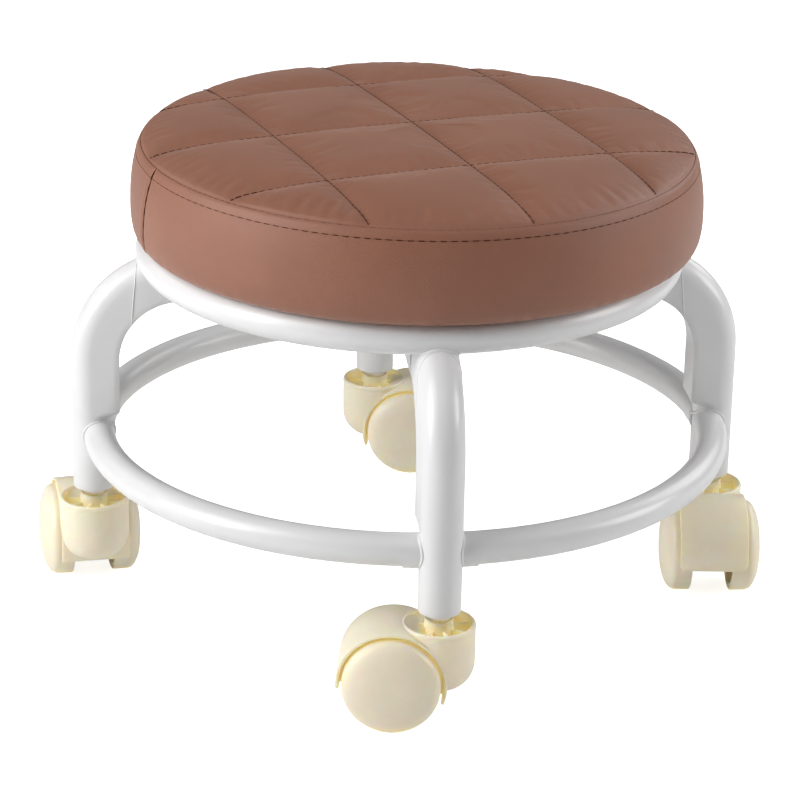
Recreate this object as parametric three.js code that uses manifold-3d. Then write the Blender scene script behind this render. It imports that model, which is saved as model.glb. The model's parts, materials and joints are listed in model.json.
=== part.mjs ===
// Low rolling stool: a round cushion on a four-legged tube frame, with a hooded
// twin-wheel caster under each leg. Millimetres and degrees, +Z up. The origin is on
// the floor, under the middle of the frame.

import * as THREE from 'three';
import { mergeVertices } from 'three/addons/utils/BufferGeometryUtils.js';
import Module from 'manifold-3d';

const wasm = await Module();
wasm.setup();

// Clearances
const gap = 0.3; // between pieces that touch
const runningGap = 0.06; // round a shaft that turns in its hole

// Where each leg stands, and how far its caster has swung from a quarter turn clockwise
const sides = [
  { name: 'right', turn: 0, swing: -5 },
  { name: 'back', turn: 90, swing: -9 },
  { name: 'left', turn: 180, swing: 7 },
  { name: 'front', turn: 270, swing: -9 },
];

// Legs: four tubes, round at the foot and D-shaped from the lower ring up
const legCircleRadius = 170;
const legRadius = 11;
const legWall = 1.5;
const legFootZ = 59.5;
const legFlatDepth = 14.5; // from the tube's axis to the flat inner side
const legFlatHalfWidth = 12;
const legFlatStartZ = 101;
const legBendRadius = 47.5;
const legBendStartZ = 135;
const legInnerEnd = 121; // how near to the middle the leg comes, under the top ring

// Rings
const topRingRadius = 137.6;
const topRingZ = 193;
const ringTubeRadius = 8.5;
const ringWall = 1.5;
const ventRadius = 2.5;
const lowerRingRadius = 167;
const lowerRingZ = 91.4;
const lowerRingEndOffset = 5; // from the leg's centre plane to the cut end of an arc

// Seat bars: box tubes that cross inside the top ring, from leg to leg
const barWidth = 24;
const barBottomZ = 168.3;
const barTopZ = 193.4;
const barWall = 1.5;
const barEndRadius = 120.6;

// Seat
const seatOffsetX = 3; // the cushion sits a little to one side on its screws
const seatBottomZ = 201.8;
const coverThickness = 1.2;
const foldInnerRadius = 112;
const dustCoverRadius = 111;
const boardRadius = 143.5;
const boardBottomZ = 203.3;
const boardThickness = 12;
const foamBottomZ = 215.6;
const seatScrewRadius = 80;

// Seat screws, spacers and tee nuts
const screwShankRadius = 3;
const screwHeadRadius = 5.5;
const screwHeadHeight = 3.6;
const screwTopZ = 213;
const screwHoleRadius = 3.4;
const spacerRadius = 7;
const teeNutFlangeRadius = 9;
const teeNutFlangeThickness = 1.4;
const teeNutBarrelRadius = 4.2;
const teeNutBarrelLength = 8;

// Casters: +X points from the stem back to the wheels
const trail = 22.5;
const wheelRadius = 25;
const wheelInnerY = 11;
const wheelWidth = 16.5;
const hubBore = 3;
const axleRadius = 3;
const axleHalfLength = 21;
const axleEndRoom = 0.5; // past the axle's end, inside the wheel
const wheelRimInnerRadius = 21.5;
const wheelHubRadius = 7;
const wheelRecessDepth = 9;
const wheelTreadWidth = 8.5;
const wheelShoulder = [[2, 5], [7.5, 2.3], [14, 0.8]]; // in from the tread, and in from the face
const hoodInnerRadius = 26.6;
const hoodOuterRadius = 28.2;
const hoodHalfWidth = 18.5;
const hoodRearAngle = -8;
const hoodFrontAngle = 199;
const webHalfWidth = 9;
const cupRadius = 18.75;
const cupWall = 1.6;
const cupTopZ = 53.2;
const cupBottomZ = 17.6;
const cupFloorZ = 38;
const cupDomeFlatRadius = 4;
const stemHubRadius = 7.3;
const stemHubTopZ = 55;
const ribCount = 8;
const ribThickness = 1.4;
const ribTopZ = 50.6;

// Caster stem and what holds it
const stemRadius = 4;
const stemBottomZ = 31;
const stemCollarRadius = 7.4;
const stemTopZ = 78;
const clipGrooveZ = 33.6;
const clipGrooveHeight = 2;
const clipOuterRadius = 5.2;
const clipInnerRadius = 3.3;
const socketRadius = 9.2;
const socketTopZ = 80;

// Facets round a full turn
const roundFine = 32;
const roundMiddle = 16;
const roundWheel = 20;
const roundSmall = 12;
const roundTiny = 8;
const tubeOuterFacets = 8;
const tubeInnerFacets = 6;

const materials = {
  whitePowderCoat: { color: 0xf1f1f2, roughness: 0.35, metalness: 0 },
  bareSteel: { color: 0xb9bcc0, roughness: 0.3, metalness: 1 },
  zincSteel: { color: 0xa9a58f, roughness: 0.4, metalness: 1 },
  brownVinyl: { color: 0xb06a48, roughness: 0.5, metalness: 0 },
  paleFoam: { color: 0xe9dfb8, roughness: 0.95, metalness: 0 },
  plywood: { color: 0xc8a06a, roughness: 0.8, metalness: 0 },
  blackFleece: { color: 0x202022, roughness: 0.95, metalness: 0 },
  ivoryNylon: { color: 0xe9dcc2, roughness: 0.35, metalness: 0 },
  blackNylon: { color: 0x1d1d1f, roughness: 0.6, metalness: 0 },
};

const radians = THREE.MathUtils.degToRad;

// A closed three.js geometry as a solid that can be joined and cut.
function solid(geometry) {
  const bare = geometry.clone();
  bare.deleteAttribute('normal');
  bare.deleteAttribute('uv');
  const welded = mergeVertices(bare);
  const corners = welded.index.array;
  const triangles = [];
  for (let i = 0; i < corners.length; i += 3) {
    const [a, b, c] = corners.subarray(i, i + 3);
    if (a !== b && b !== c && c !== a) {
      triangles.push(a, b, c);
    }
  }
  const vertProperties = new Float32Array(welded.attributes.position.array);
  const triVerts = new Uint32Array(triangles);
  return new wasm.Manifold(new wasm.Mesh({ numProp: 3, vertProperties, triVerts }));
}

function joined(solids) {
  return solids.reduce((whole, piece) => whole.add(piece));
}

function cutBy(whole, tools) {
  return tools.reduce((rest, tool) => rest.subtract(tool), whole);
}

// A named mesh of a solid.
function piece(name, shape, material) {
  const mesh = shape.getMesh();
  const geometry = new THREE.BufferGeometry();
  const positions = new Float32Array(mesh.numVert * 3);
  for (let i = 0; i < mesh.numVert; i += 1) {
    for (let axis = 0; axis < 3; axis += 1) {
      positions[i * 3 + axis] = mesh.vertProperties[i * mesh.numProp + axis];
    }
  }
  geometry.setAttribute('position', new THREE.BufferAttribute(positions, 3));
  geometry.setIndex(Array.from(mesh.triVerts));
  geometry.computeVertexNormals();
  const made = new THREE.Mesh(geometry, new THREE.MeshStandardMaterial(material));
  made.name = name;
  return made;
}

// A turned solid about the Z axis. The profile is [radius, z] pairs, anticlockwise.
function turned(profile, facets) {
  const points = profile.map(([radius, z]) => new THREE.Vector2(radius, z));
  const geometry = new THREE.LatheGeometry(points, facets);
  geometry.rotateX(Math.PI / 2);
  return solid(geometry);
}

function upright(radius, lowZ, highZ, facets) {
  return turned([[0, lowZ], [radius, lowZ], [radius, highZ], [0, highZ]], facets);
}

// A hollow upright tube, open at both ends.
function sleeve(innerRadius, outerRadius, lowZ, highZ, facets) {
  const inner = [[innerRadius, highZ], [innerRadius, lowZ]];
  const outer = [[outerRadius, lowZ], [outerRadius, highZ]];
  return turned([...inner, ...outer, inner[0]], facets);
}

// The radius that keeps a faceted hole's flats clear of a round of this radius.
function clearOf(radius, facets) {
  return radius / Math.cos(Math.PI / facets);
}

function circleShape(radius, facets) {
  const shape = new THREE.Shape();
  for (let i = 0; i < facets; i += 1) {
    const angle = (2 * Math.PI * i) / facets;
    shape[i === 0 ? 'moveTo' : 'lineTo'](radius * Math.cos(angle), radius * Math.sin(angle));
  }
  return shape;
}

function sweep(shape, path, steps) {
  return solid(new THREE.ExtrudeGeometry(shape, { steps, extrudePath: path }));
}

function torus(ringRadius, tubeRadius, tubeFacets) {
  return solid(new THREE.TorusGeometry(ringRadius, tubeRadius, tubeFacets, roundFine));
}

// The room that the top ring needs in the pieces under it.
function topRingRoom() {
  const room = torus(topRingRadius, ringTubeRadius + gap, tubeOuterFacets);
  return room.translate([0, 0, topRingZ]);
}

// A quarter bend with a straight run before it and a short one after it.
class LegPath extends THREE.Curve {
  constructor(startZ, endRadius) {
    super();
    this.straight = legBendStartZ - startZ;
    this.startZ = startZ;
    this.bend = (legBendRadius * Math.PI) / 2;
    this.run = legCircleRadius - legBendRadius - endRadius;
  }

  getPoint(t, target = new THREE.Vector3()) {
    const total = this.straight + this.bend + this.run;
    const along = t * total;
    if (along <= this.straight) {
      return target.set(legCircleRadius, 0, this.startZ + along);
    }
    const centre = legCircleRadius - legBendRadius;
    const angle = Math.min((along - this.straight) / legBendRadius, Math.PI / 2);
    const past = Math.max(along - this.straight - this.bend, 0);
    const x = centre + legBendRadius * Math.cos(angle) - past;
    return target.set(x, 0, legBendStartZ + legBendRadius * Math.sin(angle));
  }
}

// Round on the outer side of the bend, flat with two sharp edges on the inner side.
function legSection() {
  const shape = new THREE.Shape();
  shape.moveTo(-legFlatHalfWidth, -legFlatDepth);
  shape.lineTo(legFlatHalfWidth, -legFlatDepth);
  shape.absarc(0, 0, legRadius, 0, Math.PI, false);
  shape.closePath();
  return shape;
}

function legSolid() {
  const innerRadius = legRadius - legWall;
  const sweepSteps = 8;
  const foot = upright(legRadius, legFootZ, legFlatStartZ + 1, roundMiddle);
  const footBore = upright(innerRadius, legFootZ - 1, legFlatStartZ + 2, roundSmall);
  const across = [legCircleRadius, 0, 0];
  const upper = new THREE.ExtrudeGeometry(legSection(), {
    steps: sweepSteps,
    curveSegments: roundMiddle / 2,
    extrudePath: new LegPath(legFlatStartZ, legInnerEnd),
  });
  const borePath = new LegPath(legFlatStartZ, legInnerEnd - 1);
  const upperBore = sweep(circleShape(innerRadius, roundSmall), borePath, sweepSteps);
  const whole = foot.translate(across).add(solid(upper));
  return cutBy(whole, [footBore.translate(across), upperBore, topRingRoom()]);
}

function topRing() {
  const outside = torus(topRingRadius, ringTubeRadius, tubeOuterFacets);
  const inside = torus(topRingRadius, ringTubeRadius - ringWall, tubeInnerFacets);
  const vents = sides.map(({ turn }) => {
    const x = topRingRadius * Math.cos(radians(turn));
    const y = topRingRadius * Math.sin(radians(turn));
    return upright(ventRadius, -ringTubeRadius - 1, 0, roundTiny).translate([x, y, 0]);
  });
  return cutBy(outside, [inside, ...vents]).translate([0, 0, topRingZ]);
}

// One quarter of the lower ring, with ends that fit round the two legs it joins.
function lowerArc() {
  const start = Math.asin(lowerRingEndOffset / lowerRingRadius);
  const end = Math.PI / 2 - start;
  const quarter = new THREE.EllipseCurve(0, 0, lowerRingRadius, lowerRingRadius, start, end);
  const steps = 7;
  const flatPoints = quarter.getPoints(steps);
  const points = flatPoints.map(({ x, y }) => new THREE.Vector3(x, y, lowerRingZ));
  const route = new THREE.CatmullRomCurve3(points);
  const outside = sweep(circleShape(ringTubeRadius, tubeOuterFacets), route, steps);
  const inside = sweep(circleShape(ringTubeRadius - ringWall, tubeInnerFacets), route, steps);
  const ends = [[legCircleRadius, 0, 0], [0, legCircleRadius, 0]];
  const legRoom = ends.map((place) => {
    return upright(legRadius + gap, legFootZ, legFlatStartZ, roundMiddle).translate(place);
  });
  return cutBy(outside, [inside, ...legRoom]);
}

// A box tube along X from one radius to another.
function barTube(fromX, toX) {
  const height = barTopZ - barBottomZ;
  const outside = new THREE.BoxGeometry(toX - fromX, barWidth, height);
  const inside = new THREE.BoxGeometry(toX - fromX + 2, barWidth - 2 * barWall, height - 2 * barWall);
  const middle = [(fromX + toX) / 2, 0, (barBottomZ + barTopZ) / 2];
  return solid(outside).subtract(solid(inside)).translate(middle);
}

function barCuts() {
  const hole = upright(screwHoleRadius, barBottomZ - 1, barTopZ + 1, roundTiny);
  const offsets = [seatScrewRadius, -seatScrewRadius];
  return offsets.map((x) => hole.translate([x, 0, 0]));
}

function longBar() {
  return cutBy(barTube(-barEndRadius, barEndRadius), barCuts());
}

function shortBar() {
  return cutBy(barTube(barWidth / 2 + gap, barEndRadius), barCuts());
}

function spacer() {
  return sleeve(screwHoleRadius, spacerRadius, barTopZ + gap, seatBottomZ - gap, roundTiny);
}

function seatScrew() {
  const headTopZ = barBottomZ - gap;
  const headBottomZ = headTopZ - screwHeadHeight;
  const driveDepth = 2;
  const driveRadius = 2.2;
  const profile = [
    [0, headBottomZ + driveDepth],
    [driveRadius, headBottomZ + driveDepth],
    [driveRadius, headBottomZ],
    [screwHeadRadius - 1, headBottomZ],
    [screwHeadRadius, headBottomZ + 1],
    [screwHeadRadius, headTopZ],
    [screwShankRadius, headTopZ],
    [screwShankRadius, screwTopZ],
    [0, screwTopZ],
  ];
  return turned(profile, roundTiny);
}

function teeNut() {
  const topZ = boardBottomZ + boardThickness;
  const flangeZ = topZ - teeNutFlangeThickness;
  const profile = [
    [screwHoleRadius, topZ],
    [screwHoleRadius, flangeZ - teeNutBarrelLength],
    [teeNutBarrelRadius, flangeZ - teeNutBarrelLength],
    [teeNutBarrelRadius, flangeZ],
    [teeNutFlangeRadius, flangeZ],
    [teeNutFlangeRadius, topZ],
    [screwHoleRadius, topZ],
  ];
  return turned(profile, roundTiny);
}

function screwPlaces() {
  return sides.map(({ turn }) => {
    const x = seatScrewRadius * Math.cos(radians(turn));
    return [x, seatScrewRadius * Math.sin(radians(turn)), 0];
  });
}

function seatBoard() {
  const topZ = boardBottomZ + boardThickness;
  const disc = upright(boardRadius, boardBottomZ, topZ, roundFine).translate([seatOffsetX, 0, 0]);
  const barrelHole = upright(teeNutBarrelRadius + gap, boardBottomZ - 1, topZ + 1, roundTiny);
  const sinkZ = topZ - teeNutFlangeThickness - gap;
  const flangeSink = upright(teeNutFlangeRadius + gap, sinkZ, topZ + 1, roundTiny);
  const holes = screwPlaces().map((place) => barrelHole.add(flangeSink).translate(place));
  return cutBy(disc, holes);
}

function dustCover() {
  const topZ = seatBottomZ + coverThickness;
  const sheet = upright(dustCoverRadius, seatBottomZ, topZ, roundFine).translate([seatOffsetX, 0, 0]);
  const hole = upright(screwHoleRadius + gap, seatBottomZ - 1, topZ + 1, roundTiny);
  return cutBy(sheet, screwPlaces().map((place) => hole.translate(place)));
}

// The outer outline of the upholstered seat from the bottom edge to the crown.
const seatOutline = [
  [143.5, 201.8],
  [148, 203.6],
  [151, 209.5],
  [151.9, 221],
  [150.8, 238],
  [147, 250.6],
  [136, 257],
  [106, 262.8],
];
const seatCrownZ = 264;
const seatFlatRadius = 55;
const slopeDrop = 0.96; // how much lower the inside of the cover lies on its slopes
const foamEdgeRoom = 0.9; // between the foam and the cover, past the cover's thickness
const foamSideRoom = 0.5;
const foamTopRoom = 0.4;

function seatCover() {
  const wall = coverThickness;
  const outer = [...seatOutline, [seatFlatRadius, seatCrownZ], [0, seatCrownZ]];
  const slopes = seatOutline.slice(1).reverse();
  const inner = [
    [0, seatCrownZ - wall],
    [seatFlatRadius, seatCrownZ - wall],
    ...slopes.map(([radius, z]) => [radius - wall, z - slopeDrop]),
    [seatOutline[0][0] + wall, seatBottomZ + wall],
    [foldInnerRadius, seatBottomZ + wall],
    [foldInnerRadius, seatBottomZ],
  ];
  return turned([...inner, ...outer], roundFine).translate([seatOffsetX, 0, 0]);
}

function seatFoam() {
  const inset = coverThickness + gap;
  const topZ = seatCrownZ - coverThickness - foamTopRoom;
  const above = seatOutline.filter(([, z]) => z > foamBottomZ + inset);
  const sideInset = coverThickness + foamSideRoom;
  const profile = [
    [0, foamBottomZ],
    [seatOutline[2][0] - coverThickness - foamEdgeRoom, foamBottomZ],
    ...above.map(([radius, z]) => [radius - sideInset, z - inset]),
    [seatFlatRadius, topZ],
    [0, topZ],
  ];
  return turned(profile, roundFine).translate([seatOffsetX, 0, 0]);
}

// Anything round about the wheel axle, from a solid turned about Z.
function aboutAxle(shape) {
  return shape.rotate([90, 0, 0]).translate([trail, 0, wheelRadius]);
}

// An outline in the X and Z plane, centred on the axle and extruded along Y.
function axleSlab(shape, halfWidth) {
  const geometry = new THREE.ExtrudeGeometry(shape, { depth: 2 * halfWidth, bevelEnabled: false });
  geometry.translate(0, 0, -halfWidth);
  return aboutAxle(solid(geometry));
}

function arcPoints(radius, fromAngle, toAngle, count) {
  return Array.from({ length: count + 1 }, (unused, i) => {
    const angle = radians(fromAngle + ((toAngle - fromAngle) * i) / count);
    return new THREE.Vector2(radius * Math.cos(angle), radius * Math.sin(angle));
  });
}

function hoodArc(radius) {
  return arcPoints(radius, hoodRearAngle, hoodFrontAngle, 14);
}

function hood() {
  const outer = hoodArc(hoodOuterRadius);
  const inner = hoodArc(hoodInnerRadius).reverse();
  const shell = axleSlab(new THREE.Shape([...outer, ...inner]), hoodHalfWidth);
  const web = axleSlab(new THREE.Shape(outer), webHalfWidth);
  return shell.add(web);
}

// The room for the two wheels under the hood and down to the floor, either side of the web.
function wheelRooms() {
  const inner = hoodArc(hoodInnerRadius);
  const ends = [inner[inner.length - 1], inner[0]];
  const floor = ends.map((end) => new THREE.Vector2(end.x, -wheelRadius));
  const room = axleSlab(new THREE.Shape([...inner, ...floor]), cupRadius + 1);
  const webRoom = new THREE.BoxGeometry(4 * wheelRadius, 2 * webHalfWidth, 4 * wheelRadius);
  webRoom.translate(trail, 0, wheelRadius);
  return room.subtract(solid(webRoom));
}

// The cup round the stem: an outer wall with a domed bottom, a hub and ribs between them.
function cup() {
  const domeRadius = cupRadius - cupDomeFlatRadius;
  const domeCentreZ = cupBottomZ + domeRadius;
  const domeArc = arcPoints(domeRadius, -90, 0, 4);
  const dome = domeArc.map(({ x, y }) => [cupDomeFlatRadius + x, domeCentreZ + y]);
  const body = turned([[0, cupBottomZ], ...dome, [cupRadius, cupTopZ], [0, cupTopZ]], roundMiddle);
  const pocketRadius = cupRadius - cupWall;
  const pocket = sleeve(stemHubRadius, pocketRadius, cupFloorZ, cupTopZ + 1, roundMiddle);
  const ribLength = pocketRadius - stemHubRadius + 1;
  const ribHeight = ribTopZ - cupFloorZ + 1;
  const ribs = Array.from({ length: ribCount }, (unused, i) => {
    const rib = new THREE.BoxGeometry(ribLength, ribThickness, ribHeight);
    rib.translate((pocketRadius + stemHubRadius) / 2, 0, ribTopZ - ribHeight / 2);
    return solid(rib).rotate([0, 0, (360 * (i + 0.5)) / ribCount]);
  });
  const hub = upright(stemHubRadius, cupFloorZ - 2, stemHubTopZ, roundMiddle);
  return joined([body.subtract(pocket), hub, ...ribs]).subtract(wheelRooms());
}

function casterHousing() {
  const boreRadius = clearOf(stemRadius + runningGap, roundSmall);
  const grooveRadius = clearOf(clipOuterRadius + gap, roundSmall);
  const grooveTopZ = clipGrooveZ + clipGrooveHeight;
  const stemBore = turned([
    [0, stemBottomZ - 1],
    [boreRadius, stemBottomZ - 1],
    [boreRadius, clipGrooveZ],
    [grooveRadius, clipGrooveZ],
    [grooveRadius, grooveTopZ],
    [boreRadius, grooveTopZ],
    [boreRadius, stemHubTopZ + 1],
    [0, stemHubTopZ + 1],
  ], roundSmall);
  const axleBoreRadius = clearOf(axleRadius + gap, roundSmall);
  const axleBore = upright(axleBoreRadius, -webHalfWidth - 1, webHalfWidth + 1, roundSmall);
  return cutBy(hood().add(cup()), [stemBore, aboutAxle(axleBore)]);
}

function casterStem() {
  const collarBottomZ = stemHubTopZ + gap;
  const collarTopZ = legFootZ - gap;
  const neckRadius = clipInnerRadius - gap;
  const profile = [
    [0, stemBottomZ],
    [stemRadius, stemBottomZ],
    [stemRadius, clipGrooveZ],
    [neckRadius, clipGrooveZ],
    [neckRadius, clipGrooveZ + clipGrooveHeight],
    [stemRadius, clipGrooveZ + clipGrooveHeight],
    [stemRadius, collarBottomZ],
    [stemCollarRadius, collarBottomZ],
    [stemCollarRadius, collarTopZ],
    [stemRadius, collarTopZ],
    [stemRadius, stemTopZ],
    [0, stemTopZ],
  ];
  return turned(profile, roundSmall);
}

function stemClip() {
  const bottomZ = clipGrooveZ + gap;
  const topZ = clipGrooveZ + clipGrooveHeight - gap;
  return sleeve(clipInnerRadius, clipOuterRadius, bottomZ, topZ, roundTiny);
}

function stemSocket() {
  return sleeve(stemRadius + gap, socketRadius, legFootZ, socketTopZ, roundSmall);
}

function casterAxle() {
  return aboutAxle(upright(axleRadius, -axleHalfLength, axleHalfLength, roundSmall));
}

// One wheel, outer face up: a domed face, a rounded shoulder and a hub inside the rim.
function casterWheel() {
  const boreRadius = clearOf(hubBore + runningGap, roundSmall);
  const boreDepth = axleHalfLength - wheelInnerY + axleEndRoom;
  const treadRadius = clearOf(wheelRadius, roundWheel);
  const profile = [
    [0, boreDepth],
    [boreRadius, boreDepth],
    [boreRadius, 0],
    [wheelHubRadius, 0],
    [wheelHubRadius, wheelRecessDepth],
    [wheelRimInnerRadius, wheelRecessDepth],
    [wheelRimInnerRadius, 0],
    [treadRadius, 0],
    [treadRadius, wheelTreadWidth],
    ...wheelShoulder.map(([inward, down]) => [treadRadius - inward, wheelWidth - down]),
    [0, wheelWidth],
  ];
  return turned(profile, roundWheel).rotate([0, 0, 180 / roundWheel]);
}

function wheelPlaced(side) {
  const outward = casterWheel().translate([0, 0, wheelInnerY]);
  const placed = side === 'a' ? outward : outward.mirror([0, 0, 1]);
  return aboutAxle(placed);
}

function frameGroup() {
  const group = new THREE.Group();
  group.add(piece('top_ring', topRing(), materials.whitePowderCoat));
  group.add(piece('seat_bar_long', longBar(), materials.whitePowderCoat));
  for (const { name, turn } of sides) {
    const side = new THREE.Group();
    side.rotation.z = radians(turn);
    side.add(piece(`leg_${name}`, legSolid(), materials.whitePowderCoat));
    side.add(piece(`lower_ring_arc_${name}`, lowerArc(), materials.whitePowderCoat));
    if (turn % 180 !== 0) {
      side.add(piece(`seat_bar_${name}`, shortBar(), materials.whitePowderCoat));
    }
    const hardware = new THREE.Group();
    hardware.position.x = seatScrewRadius;
    hardware.add(piece(`seat_spacer_${name}`, spacer(), materials.blackNylon));
    hardware.add(piece(`seat_screw_${name}`, seatScrew(), materials.zincSteel));
    hardware.add(piece(`tee_nut_${name}`, teeNut(), materials.zincSteel));
    side.add(hardware);
    group.add(side);
  }
  return group;
}

function seatGroup() {
  const group = new THREE.Group();
  group.add(piece('seat_board', seatBoard(), materials.plywood));
  group.add(piece('seat_foam', seatFoam(), materials.paleFoam));
  group.add(piece('seat_cover', seatCover(), materials.brownVinyl));
  group.add(piece('seat_dust_cover', dustCover(), materials.blackFleece));
  return group;
}

// Each caster trails roughly clockwise round the stool, seen from above.
function casterGroup({ name, turn, swing }) {
  const group = new THREE.Group();
  group.position.x = legCircleRadius * Math.cos(radians(turn));
  group.position.y = legCircleRadius * Math.sin(radians(turn));
  group.rotation.z = radians(turn - 90 + swing);
  group.add(piece(`stem_socket_${name}`, stemSocket(), materials.blackNylon));
  group.add(piece(`caster_stem_${name}`, casterStem(), materials.bareSteel));
  group.add(piece(`stem_clip_${name}`, stemClip(), materials.bareSteel));
  group.add(piece(`caster_housing_${name}`, casterHousing(), materials.ivoryNylon));
  group.add(piece(`caster_axle_${name}`, casterAxle(), materials.bareSteel));
  group.add(piece(`wheel_${name}_a`, wheelPlaced('a'), materials.ivoryNylon));
  group.add(piece(`wheel_${name}_b`, wheelPlaced('b'), materials.ivoryNylon));
  return group;
}

const group = new THREE.Group();
group.add(frameGroup());
group.add(seatGroup());
for (const side of sides) {
  group.add(casterGroup(side));
}

export default group;
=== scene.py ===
import json
import math
import random

import bmesh
import bpy
import numpy as np
from mathutils import Matrix, Vector


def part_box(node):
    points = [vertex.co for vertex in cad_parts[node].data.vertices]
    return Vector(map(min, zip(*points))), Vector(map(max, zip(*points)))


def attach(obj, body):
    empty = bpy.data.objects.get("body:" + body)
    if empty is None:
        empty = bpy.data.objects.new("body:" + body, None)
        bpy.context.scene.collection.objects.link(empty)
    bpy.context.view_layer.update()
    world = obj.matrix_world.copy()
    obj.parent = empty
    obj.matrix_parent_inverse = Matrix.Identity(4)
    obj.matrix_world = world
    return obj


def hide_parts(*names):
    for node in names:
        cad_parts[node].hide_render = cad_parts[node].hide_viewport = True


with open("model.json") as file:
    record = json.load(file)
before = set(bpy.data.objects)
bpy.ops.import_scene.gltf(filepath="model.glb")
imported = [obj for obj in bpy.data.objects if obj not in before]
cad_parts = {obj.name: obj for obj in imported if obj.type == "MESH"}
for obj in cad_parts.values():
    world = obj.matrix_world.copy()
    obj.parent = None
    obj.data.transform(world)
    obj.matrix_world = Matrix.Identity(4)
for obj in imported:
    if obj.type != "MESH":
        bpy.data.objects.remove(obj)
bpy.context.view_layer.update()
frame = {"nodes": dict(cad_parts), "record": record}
print("frame loaded")

mm = 0.001
turns = {"right": 0, "back": 90, "left": 180, "front": 270}  # where each leg stands, in degrees
scene = bpy.context.scene


def middleOf(node):
    low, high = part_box(node)
    return (low + high) / 2


def meshObject(name, points, faces, smooth=True):
    mesh = bpy.data.meshes.new(name)
    mesh.from_pydata([tuple(point) for point in points], [], faces)
    mesh.validate()
    made = bpy.data.objects.new(name, mesh)
    scene.collection.objects.link(made)
    if smooth:
        mesh.shade_smooth()
    return made


def outwardFaces(made):
    mesh = bmesh.new()
    mesh.from_mesh(made.data)
    bmesh.ops.recalc_face_normals(mesh, faces=mesh.faces)
    mesh.to_mesh(made.data)
    mesh.free()
    return made


# sharp edges stay sharp, the rest shades smoothly
def sharpen(made, degrees):
    made.data.set_sharp_from_angle(angle=math.radians(degrees))
    return made


# rows of points joined into a skin; each row is one closed loop
def skin(name, rows, closedRows=False, capped=True, sharpAngle=40):
    count = len(rows[0])
    points = [point for row in rows for point in row]
    faces = []
    pairs = len(rows) if closedRows else len(rows) - 1
    for i in range(pairs):
        nextRow = (i + 1) % len(rows)
        for j in range(count):
            k = (j + 1) % count
            faces.append((i * count + j, i * count + k, nextRow * count + k, nextRow * count + j))
    if capped and not closedRows:
        faces.append(tuple(reversed(range(count))))
        faces.append(tuple(range((len(rows) - 1) * count, len(rows) * count)))
    made = outwardFaces(meshObject(name, points, faces))
    return sharpen(made, sharpAngle)


# a turned piece; a radius may be a number or a function of the angle
def turned(name, profile, facets, closed=False, sharpAngle=35):
    rows = []
    for radius, z in profile:
        row = []
        for j in range(facets):
            angle = 2 * math.pi * j / facets
            reach = radius(angle) if callable(radius) else radius
            row.append(Vector((reach * math.cos(angle), reach * math.sin(angle), z)))
        rows.append(row)
    return skin(name, rows, closedRows=closed, capped=not closed, sharpAngle=sharpAngle)


# a quarter round from one profile point to the next, bulging towards the corner
def rounded(start, corner, end, steps=5):
    points = []
    for i in range(steps + 1):
        t = i / steps
        a, b, c = (1 - t) ** 2, 2 * t * (1 - t), t * t
        points.append(tuple(a * start[k] + b * corner[k] + c * end[k] for k in (0, 1)))
    return points


# a round bead along a line of points, sunk into what it lies on
def bead(name, line, radius, closed=True, sides=10):
    rows = []
    count = len(line)
    for i in range(count):
        before = line[i - 1] if closed else line[max(i - 1, 0)]
        after = line[(i + 1) % count] if closed else line[min(i + 1, count - 1)]
        along = (after - before).normalized()
        across = along.orthogonal().normalized()
        if rows:
            across = (rows[-1][0] - line[i - 1]).normalized()
            across = (across - along * across.dot(along)).normalized()
        other = along.cross(across)
        reach = radius
        if not closed and i in (0, count - 1):
            reach = radius * 0.3
        row = []
        for j in range(sides):
            angle = 2 * math.pi * j / sides
            row.append(line[i] + across * (reach * math.cos(angle)) + other * (reach * math.sin(angle)))
        rows.append(row)
    return skin(name, rows, closedRows=closed, sharpAngle=80)


def joined(name, pieces):
    mesh = bmesh.new()
    for piece in pieces:
        copy = piece.data.copy()
        copy.transform(piece.matrix_world)
        mesh.from_mesh(copy)
        bpy.data.meshes.remove(copy)
    data = bpy.data.meshes.new(name)
    mesh.to_mesh(data)
    mesh.free()
    made = bpy.data.objects.new(name, data)
    scene.collection.objects.link(made)
    for piece in pieces:
        bpy.data.objects.remove(piece)
    return made


# joins or cuts closed solids for good
def combined(base, tools, how):
    for tool in tools:
        step = base.modifiers.new("combine", "BOOLEAN")
        step.operation = how
        step.solver = "EXACT"
        step.object = tool
        bpy.context.view_layer.update()
        result = bpy.data.meshes.new_from_object(base.evaluated_get(bpy.context.evaluated_depsgraph_get()))
        base.modifiers.clear()
        base.data = result
        bpy.data.objects.remove(tool)
    return base


def paint(made, material):
    made.data.materials.clear()
    made.data.materials.append(material)
    return made


# one more object of the same mesh, turned and moved with its leg
def placedCopy(source, name, matrix):
    made = bpy.data.objects.new(name, source.data)
    scene.collection.objects.link(made)
    made.matrix_world = matrix
    return made


def drop(source):
    bpy.data.objects.remove(source)


def finishPiece(made, body, slot, *nodes):
    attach(made, body)
    if nodes:
        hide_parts(*nodes)
    return made


# a copy of a piece for one leg, standing for that leg's CAD node
def placePiece(source, name, side, matrix, body, slot, node=None):
    made = placedCopy(source, f"{name}_{side}", matrix)
    return finishPiece(made, body, slot, *([f"{node}_{side}"] if node else []))


def newMaterial(name, colour, roughness, metallic=0.0, specular=0.5):
    material = bpy.data.materials.new(name)
    material.use_nodes = True
    shader = material.node_tree.nodes["Principled BSDF"]
    shader.inputs["Base Color"].default_value = (*colour, 1)
    shader.inputs["Roughness"].default_value = roughness
    shader.inputs["Metallic"].default_value = metallic
    shader.inputs["Specular IOR Level"].default_value = specular
    return material, shader


def addNode(material, kind, **settings):
    node = material.node_tree.nodes.new(kind)
    for key, value in settings.items():
        if key in node.inputs:
            node.inputs[key].default_value = value
        else:
            setattr(node, key, value)
    return node


def wire(material, source, target):
    material.node_tree.links.new(source, target)


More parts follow.
